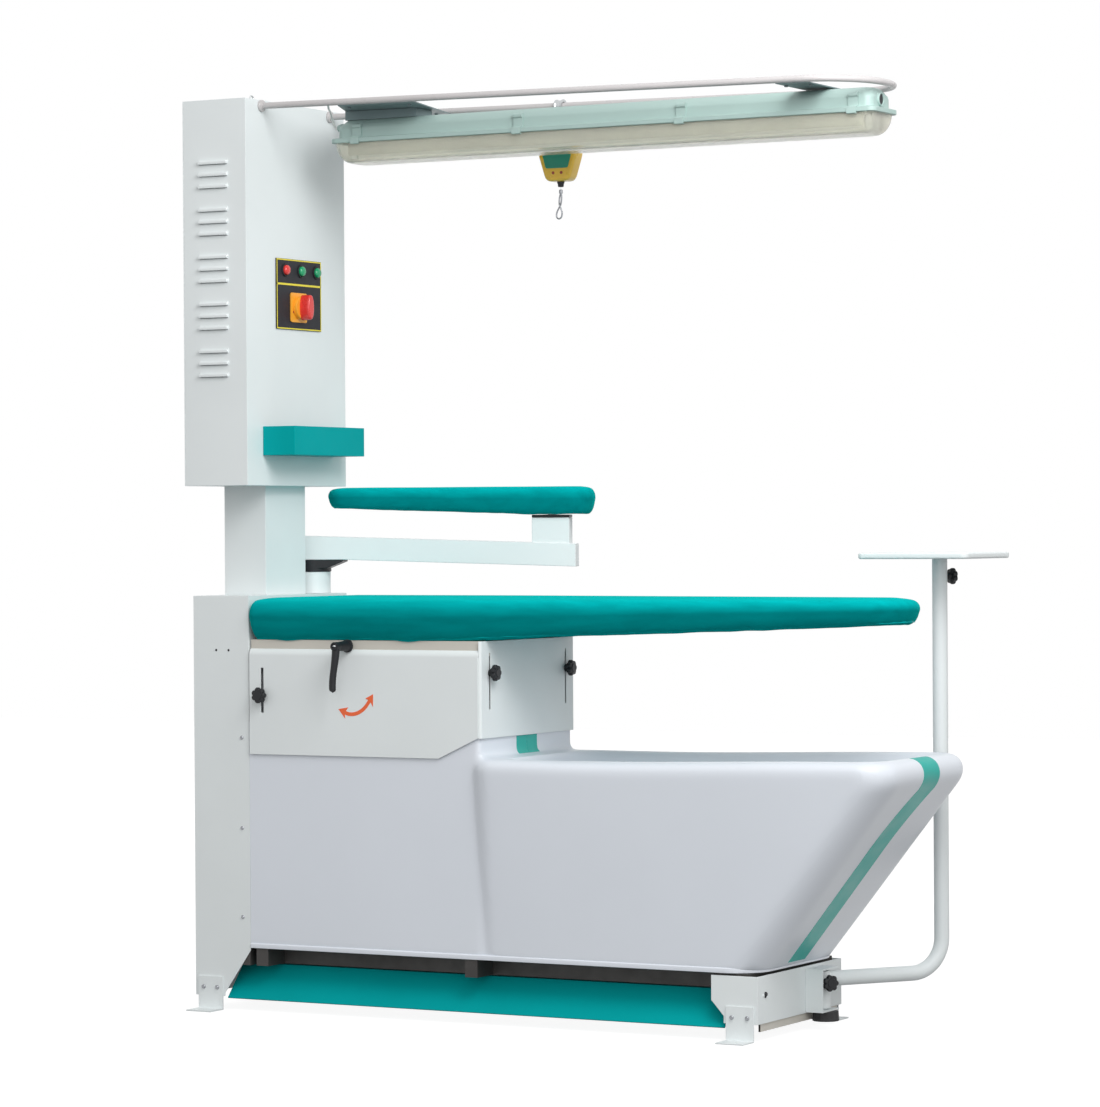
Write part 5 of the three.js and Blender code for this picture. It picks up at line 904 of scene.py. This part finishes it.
housing = loft([lamp_ring(*ring) for ring in HOUSING])
for x, top in ((245, 17.9), (1296, 3.2)):
    housing.join(lathe([(12, -1.5), (12, 1), (10, 2), (10, top)], "z", (x, 0, 0), 24))
housing.join(
    lathe([(4, 114.9), (6.4, 115.1), (8, 117), (8, 122), (9.6, 123), (9.6, 128), (8, 129), (8, 141)], "x",
          (0, -5, -14), 12),
    lathe([(12, 1405), (14, 1406), (14, 1414.5), (13.2, 1415.8), (11.4, 1415.8), (11, 1414), (11, 1412.8)], "x",
          (0, -7, -24.5), 28))
piece(housing.moved(LAMP), "lamp_housing", SHADE_GREY, "base", 40, "lamp_body")
piece(lathe([(10.9, 1411), (10.9, 1413.6), (9, 1414.2), (3, 1413.6)], "x", (0, -7, -24.5), 24).moved(LAMP),
      "lamp_end_bung", BLACK)

clips = Shape().join(*(side_prism([(y * side, z) for y, z in CLIP], x + 1, x + 23, 0.35)
                       for x in LAMP_CLIPS for side in (-1, 1)))
piece(clips.moved(LAMP), "lamp_clips", SHADE_GREY, sharp=30)

inside = [(z + (DIFFUSER_WALL if z < -90 else 0), end + DIFFUSER_WALL, half - DIFFUSER_WALL)
          for z, end, half in DIFFUSER]
diffuser = loft([lamp_ring(*ring) for ring in inside + DIFFUSER[::-1]])
piece(diffuser.moved(LAMP), "lamp_cover", CLEAR, "base", 50, "lamp_diffuser")
trough = side_prism([(-44, -79), (-44, -51), (44, -51), (44, -79), (41, -79), (36, -54), (-36, -54), (-41, -79)],
                    164, 1392, 0.3)
piece(trough.moved(LAMP), "lamp_reflector", REFLECTOR, sharp=30)
tube = lathe([(4, 168.4), (9, 168.4), (13, 169.6), (13, 1379.4), (9, 1380.6), (4, 1380.6)], "x", (0, 0, -71), 28)
piece(tube.moved(LAMP), "lamp_glass", GLASS_WHITE, "base", 40, "lamp_tube")
holders = Shape().join(*(side_prism(rounded(-14, 14, -84, -50, 8, 5), x, x + 14, 1) for x in (152, 1383)))
piece(holders.moved(LAMP), "lamp_holders", WHITE_INSIDE)

# Lead of the lamp: out of its gland, up and round into the near leg of the rail
LEAD = [(114.7, -5, -14), (109, -5, -14), (106.5, -9, -6.5), (109, -22, 7), (121, -47, 17), (137, -80, 21),
        (154, -110, 26), (165, -124, 27.7), (165, -132.6, 27.7)]
lead_points = [Vector(p) + Vector((0, AXIS, LAMP_TOP)) for p in catmull(LEAD, 4)]
lead = piece(sweep(lead_points, 2.4, 14), "lamp_lead", CORD, "base", 60, "lamp_cable")

# Balancer under the rail's far leg
BALANCER = shift(590, AXIS + RAIL_HALF, 0)
CASE_TOP, CASE_FOOT, CASE_MIDDLE, RING_Z = 1886, 1793, 1842, 1955.7
CASE = [(-30, CASE_TOP), (-47, 1866), (-47, 1850), (-29, CASE_FOOT), (29, CASE_FOOT), (47, 1850), (47, 1866),
        (30, CASE_TOP)]
trolley = revolve([(8.6, -6), (9.8, -9), (15, -9), (15, -6.5), (13.2, -4.6), (13.2, 4.6), (15, 6.5), (15, 9),
                   (9.8, 9), (8.6, 6)], "x", (0, 0, RING_Z))
trolley.join(block([-9, 9], [-1.5, 1.5], [CASE_TOP + 2, RING_Z - 12.8], 0.5),
             block([-12, 12], [-12, 12], [CASE_TOP + 0.3, CASE_TOP + 3.3], 0.6),
             lathes([(2.6, 3), (2.6, 4.8), (2, 5.4)], "z",
                    [(x, y, CASE_TOP) for x in (-7.5, 7.5) for y in (-7.5, 7.5)], 6))
piece(trolley.moved(BALANCER), "balancer_trolley", STEEL, "balancer", 35, "balancer_hanger")

CASE_SIDE = [(12.4, 1), (15.6, 1 - 1.4 / 45), (17.5, 0.92), (18, 1 - 6 / 45)]
case_rings = [[(p.x * scale, y, CASE_MIDDLE + (p.y - CASE_MIDDLE) * scale) for p in soft_outline(CASE, 13)]
              for y, scale in [(-y, scale) for y, scale in CASE_SIDE[::-1]] + CASE_SIDE]
piece(loft(case_rings).moved(BALANCER), "balancer_shell", YELLOW_PAINT, "balancer", 40, "balancer_case")
nozzle = lathe([(2.6, 1781.2), (5.6, 1781.2), (6.4, 1783), (6.8, 1788), (8, 1789.4), (8, 1793.6)], sides=28)
piece(nozzle.moved(BALANCER), "balancer_nozzle", BLACK, "balancer")
label = soft_outline([(-38, 1859), (-27, 1821), (27, 1821), (38, 1859)], 4, 3)
piece(front_prism(label, -18.5, -17.6).moved(BALANCER), "balancer_plate", GREEN_PLATE, "balancer")
rivets = lathes([(2.4, -19), (3.4, -18.4), (3.4, -17.4)], "y", [(-9, 0, 1811), (11, 0, 1811)], 14)
piece(rivets.moved(BALANCER), "balancer_rivets", RED_DARK, "balancer")


def hook_wire():
    """A wire eye that crosses itself half way."""
    start, length, lean = 1766.9, 54, -5
    loop = [(0.9, 0), (2.5, 0.16), (2.1, 0.34), (0, 0.47), (-3.2, 0.6), (-6.6, 0.78), (-5.6, 0.94), (-1.6, 1)]
    down, back = ([(side * g + lean * d, side * 2 * exp(-((d - 0.47) / 0.12) ** 2), start - length * d)
                   for g, d in loop] for side in (1, -1))
    return catmull(down + back[::-1], 6)


hook = sweep(hook_wire(), 1.7, 12)
hook.join(lathe([(2.2, 1766.8), (3.8, 1767.2), (4, 1768.4), (4, 1774.4), (3.6, 1775.4), (1.8, 1775.7)], sides=20))
piece(hook.moved(BALANCER), "hook_eye", SCREW_STEEL, "hook", 40, "balancer_hook")
# The pull cable lengthens between the case and the eye; here it is placed on no body
pull_line = piece(lathe([(1, 1774), (1, 1786)], sides=12).moved(BALANCER), "pull_line", SCREW_STEEL, None)
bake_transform(pull_line)

# Control panel on the cabinet's right face
PANEL_Y, PANEL_Z, PANEL_FACE = (116, 299), (1483, 1638), 3.3
LINE_IN, LINE_OUT, DIVIDER = 0.8, 3.4, (1580.2, 1584.4)
piece(block([0.3, PANEL_FACE], PANEL_Y, PANEL_Z, 0.5), "panel_face", PANEL, stands_for="control_panel")
frame_y, frame_z = ([low + LINE_IN, low + LINE_OUT, high - LINE_OUT, high - LINE_IN]
                    for low, high in (PANEL_Y, PANEL_Z))
line_x = [PANEL_FACE - 0.2, PANEL_FACE + 0.25]
lines = Shape().join(*(block(line_x, [frame_y[0], frame_y[3]], z) for z in (frame_z[:2], frame_z[2:], DIVIDER)),
                     *(block(line_x, y, frame_z[1:3]) for y in (frame_y[:2], frame_y[2:])))
piece(lines, "panel_lines", YELLOW_LINE)

BUTTON_Y, BUTTON_STEP, BUTTON_Z = 152, 63.5, 1613
BUTTONS = (("button_red", "red_button", RED), ("button_green_left", "left_green_button", GREEN),
           ("button_green_right", "right_green_button", GREEN))
DOME = [(6, -7.9), (6, 1), (10.9, 1.4), (10.9, 7.4), (10.4, 9.4), (9, 11.3), (6.6, 12.6), (3.4, 13.2), (1, 13.3)]
rims = Shape()
for i, (cad_name, body, paint) in enumerate(BUTTONS):
    centre = (0, BUTTON_Y + BUTTON_STEP * i, BUTTON_Z)
    rims.join(revolve([(11.6, 0.6), (15, 0.6), (15, 4.6), (14.2, 6), (12.6, 6.3), (11.6, 5.6)], "x", centre, 36))
    piece(lathe(DOME, "x", centre, 36), cad_name + "_dome", paint, body, 60, cad_name)
piece(rims, "panel_bezels", BLACK, sharp=35)

# Main switch: yellow plate and dial, long red grip
SWITCH_Y, SWITCH_Z, PLATE_HALF = 202, 1532, 32.5
plate = side_prism(rounded(-PLATE_HALF, PLATE_HALF, -PLATE_HALF, PLATE_HALF, 5, 5), 3.6, 6.6, 0.5)
piece(plate.moved(shift(0, SWITCH_Y, SWITCH_Z)), "switch_face", YELLOW, stands_for="switch_plate")
dial = lathe([(5.8, -7.9), (5.8, 6.4), (24.4, 6.8), (25, 7.6), (25, 14.2), (24, 15.8), (20, 16)], "x",
             (0, SWITCH_Y, SWITCH_Z), 48)
piece(dial, "switch_dial", YELLOW, "main_switch", 40)
grip = [[(x, SWITCH_Y + (12.2 - inset) * c, SWITCH_Z + (28 - inset) * s) for c, s in circle(48)]
        for x, inset in ((15.5, 0.2), (17, 0), (34, 0.4), (37.6, 1.2), (39.4, 2.8), (40, 5))]
piece(loft(grip), "switch_grip", RED, "main_switch", 45, "switch_knob")
piece(lathe([(3.2, 6.2), (3.2, 7.2), (2.4, 7.8)], "x", (0, 180, 1522), 16), "switch_screw", RED_DARK)

# Side tray on its bent tube
TRAY = shift(*TRAY_PIVOT) @ turn("Z", TRAY_TURN)
TUBE_Z, TUBE_TOP, TUBE_RADIUS, TUBE_BEND = 104.5, 972, 16, 72
leg = bent([(0, 0, TUBE_Z), (TRAY_REACH, 0, TUBE_Z), (TRAY_REACH, 0, TUBE_TOP)], TUBE_BEND, 24)
arm_shape = sweep(leg, TUBE_RADIUS, 36).join(
    lathe([(7.2, 44.2), (15.4, 44.2), (16.6, 45.4), (16.6, 120.6), (15.4, 121.8), (7.2, 121.8)], sides=40))
piece(arm_shape.moved(TRAY), "tray_tube_bent", WHITE, "tray_tube", 40, "tray_arm")
piece(soft_rod(12.5, 640, 973, 1, (TRAY_REACH, 0, 0)).moved(TRAY), "tray_post_bar", STEEL, "post", 40, "tray_post")

TRAY_HALF_X, TRAY_HALF_Y, TRAY_CORNER = 125, 120, 14
TRAY_RINGS = [(0, 5), (0.5, 2.6), (1.8, 0.8), (3.6, 0), (9.4, 0), (11.2, 0.8), (12.5, 2.4), (13, 4.2), (12.6, 6),
              (11, 7.6), (8, 9), (6.6, 11), (6, 14)]
tray_at = TRAY_PIVOT + along * TRAY_REACH + Vector((-12, -2, 973.3))
tray_shape = loft([flat(rounded(i - TRAY_HALF_X, TRAY_HALF_X - i, i - TRAY_HALF_Y, TRAY_HALF_Y - i,
                                max(TRAY_CORNER - i, 4), 10), z) for z, i in TRAY_RINGS])
piece(tray_shape.moved(shift(*tray_at)), "tray_top", WHITE, "tray", 50, "tray_plate")

# Pressed lips of the louvres, rounded at their ends
LOUVRE_TOP, LOUVRE_GROUP, LOUVRE_ROW = 1837.5, 102.5, 26
lows = [LOUVRE_TOP - LOUVRE_GROUP * group - LOUVRE_ROW * row for group in range(5) for row in range(3)]
lips = Shape().join(*(front_prism(rounded(-122, -46, z - 0.2, z + 6.8, 3.4, 6), -6.6, 0.4, 2.6) for z in lows))
piece(lips, "louvre_lips", WHITE, sharp=50)

# Small fixings
COLUMN_SCREWS = [(-19.3, 0, z) for z in (204, 397, 593)]
FOOT_SCREWS = [(x, 0, 49) for x in (-120, -85, 1161, 1196)]
screws = lathes([(1.4, -2.5), (3.2, -2.2), (4.2, -1), (4.2, 0.2)], "y", COLUMN_SCREWS, 18).join(
    lathes([(1.6, -7), (3.4, -6.7), (4.5, -5.4), (4.5, -3.2)], "y", FOOT_SCREWS, 18))
piece(screws, "front_screws", SCREW_STEEL, sharp=30)
piece(lathes([(1.8, -0.8), (2.6, -0.4), (2.6, 0.3)], "y", [(-84, 0, 782), (-52, 0, 782)], 14), "front_dots", BLACK)
piece(lathe([(4.8, 1217.6), (4.8, 1220), (3.6, 1221.6)], "x", (0, 36, 95), 18), "bracket_plug", BLACK)
piece(lathe([(3.4, 1217.8), (3.4, 1218.9), (2.6, 1219.4)], "x", (0, 27, 93), 16), "bracket_washer", WHITE)
piece(block([1214.6, 1215.3], [18.4, 385.6], [20.4, 35.6]), "end_strip_face", CREAM)
eye_route = catmull([(-50, 104, 1977.6), (-50, 104, 1981), (-50, 108.5, 1985.5), (-50, 108.5, 1990), (-50, 104, 1993),
                     (-50, 98.5, 1992), (-50, 96.5, 1988)], 6)
eye_foot = lathe([(4.4, 1977.8), (4.4, 1979.4), (3.4, 1980)], "z", (-50, 104, 0), 16)
piece(sweep(eye_route, 1.8, 12).join(eye_foot), "cabinet_top_hook", STEEL, sharp=40)

# Floor, light and background
FLOOR_SPAN, FLOOR_Z = (-9000, 11000), -0.3
floor_shape = Shape([(x, y, FLOOR_Z) for x, y in zip(FLOOR_SPAN + FLOOR_SPAN[::-1], sorted(FLOOR_SPAN * 2))],
                    [[0, 1, 2, 3]])
floor = new_object("floor", floor_shape.mesh("floor"))


def seen_or_lit(tree, seen, lit):
    """One strength for what is seen, straight or in a mirror or glass, another for light that falls on things."""
    path = tree.nodes.new("ShaderNodeLightPath")
    total = chained(tree, "MAXIMUM", *(path.outputs[f"Is {ray} Ray"] for ray in ("Camera", "Glossy", "Transmission")))
    return node(tree, "MapRange", "Result", {"Value": total, "To Min": lit, "To Max": seen})


pale, tree, shader = nodes_of("floor_pale")
feed(tree, shader, {
    "Base Color": ramp(tree, noise_of(tree, 1.5), (0.24, 0.24, 0.24), (0.26, 0.26, 0.26)),
    "Roughness": 0.9, "Specular IOR Level": 0.1, "Emission Color": (1, 1, 1, 1),
    "Emission Strength": seen_or_lit(tree, FLOOR_LIFT, 0),
})
paint_with(floor.data, pale)

sky = bpy.context.scene.world = bpy.data.worlds.new("studio")
sky.use_nodes = True
back = next(n for n in sky.node_tree.nodes if n.type == "BACKGROUND")
feed(sky.node_tree, back, {"Color": (1, 1, 1, 1), "Strength": seen_or_lit(sky.node_tree, 1, AMBIENT)})


def lamp(name, kind, towards, energy):
    made = new_object(name, bpy.data.lights.new(name, kind))
    made.data.energy = energy
    made.rotation_euler = Vector(towards).to_track_quat("Z", "Y").to_euler()
    return made


fill = lamp("fill", "SUN", FILL_TOWARDS, FILL_LEVEL * pi)
fill.data.angle = radians(FILL_ANGLE)
key = lamp("key", "AREA", Vector(KEY_PLACE) - Vector(KEY_AIM), KEY_WATTS)
put(key.data, shape="DISK", size=KEY_SIZE)
put(key, location=at(KEY_PLACE), visible_camera=False)
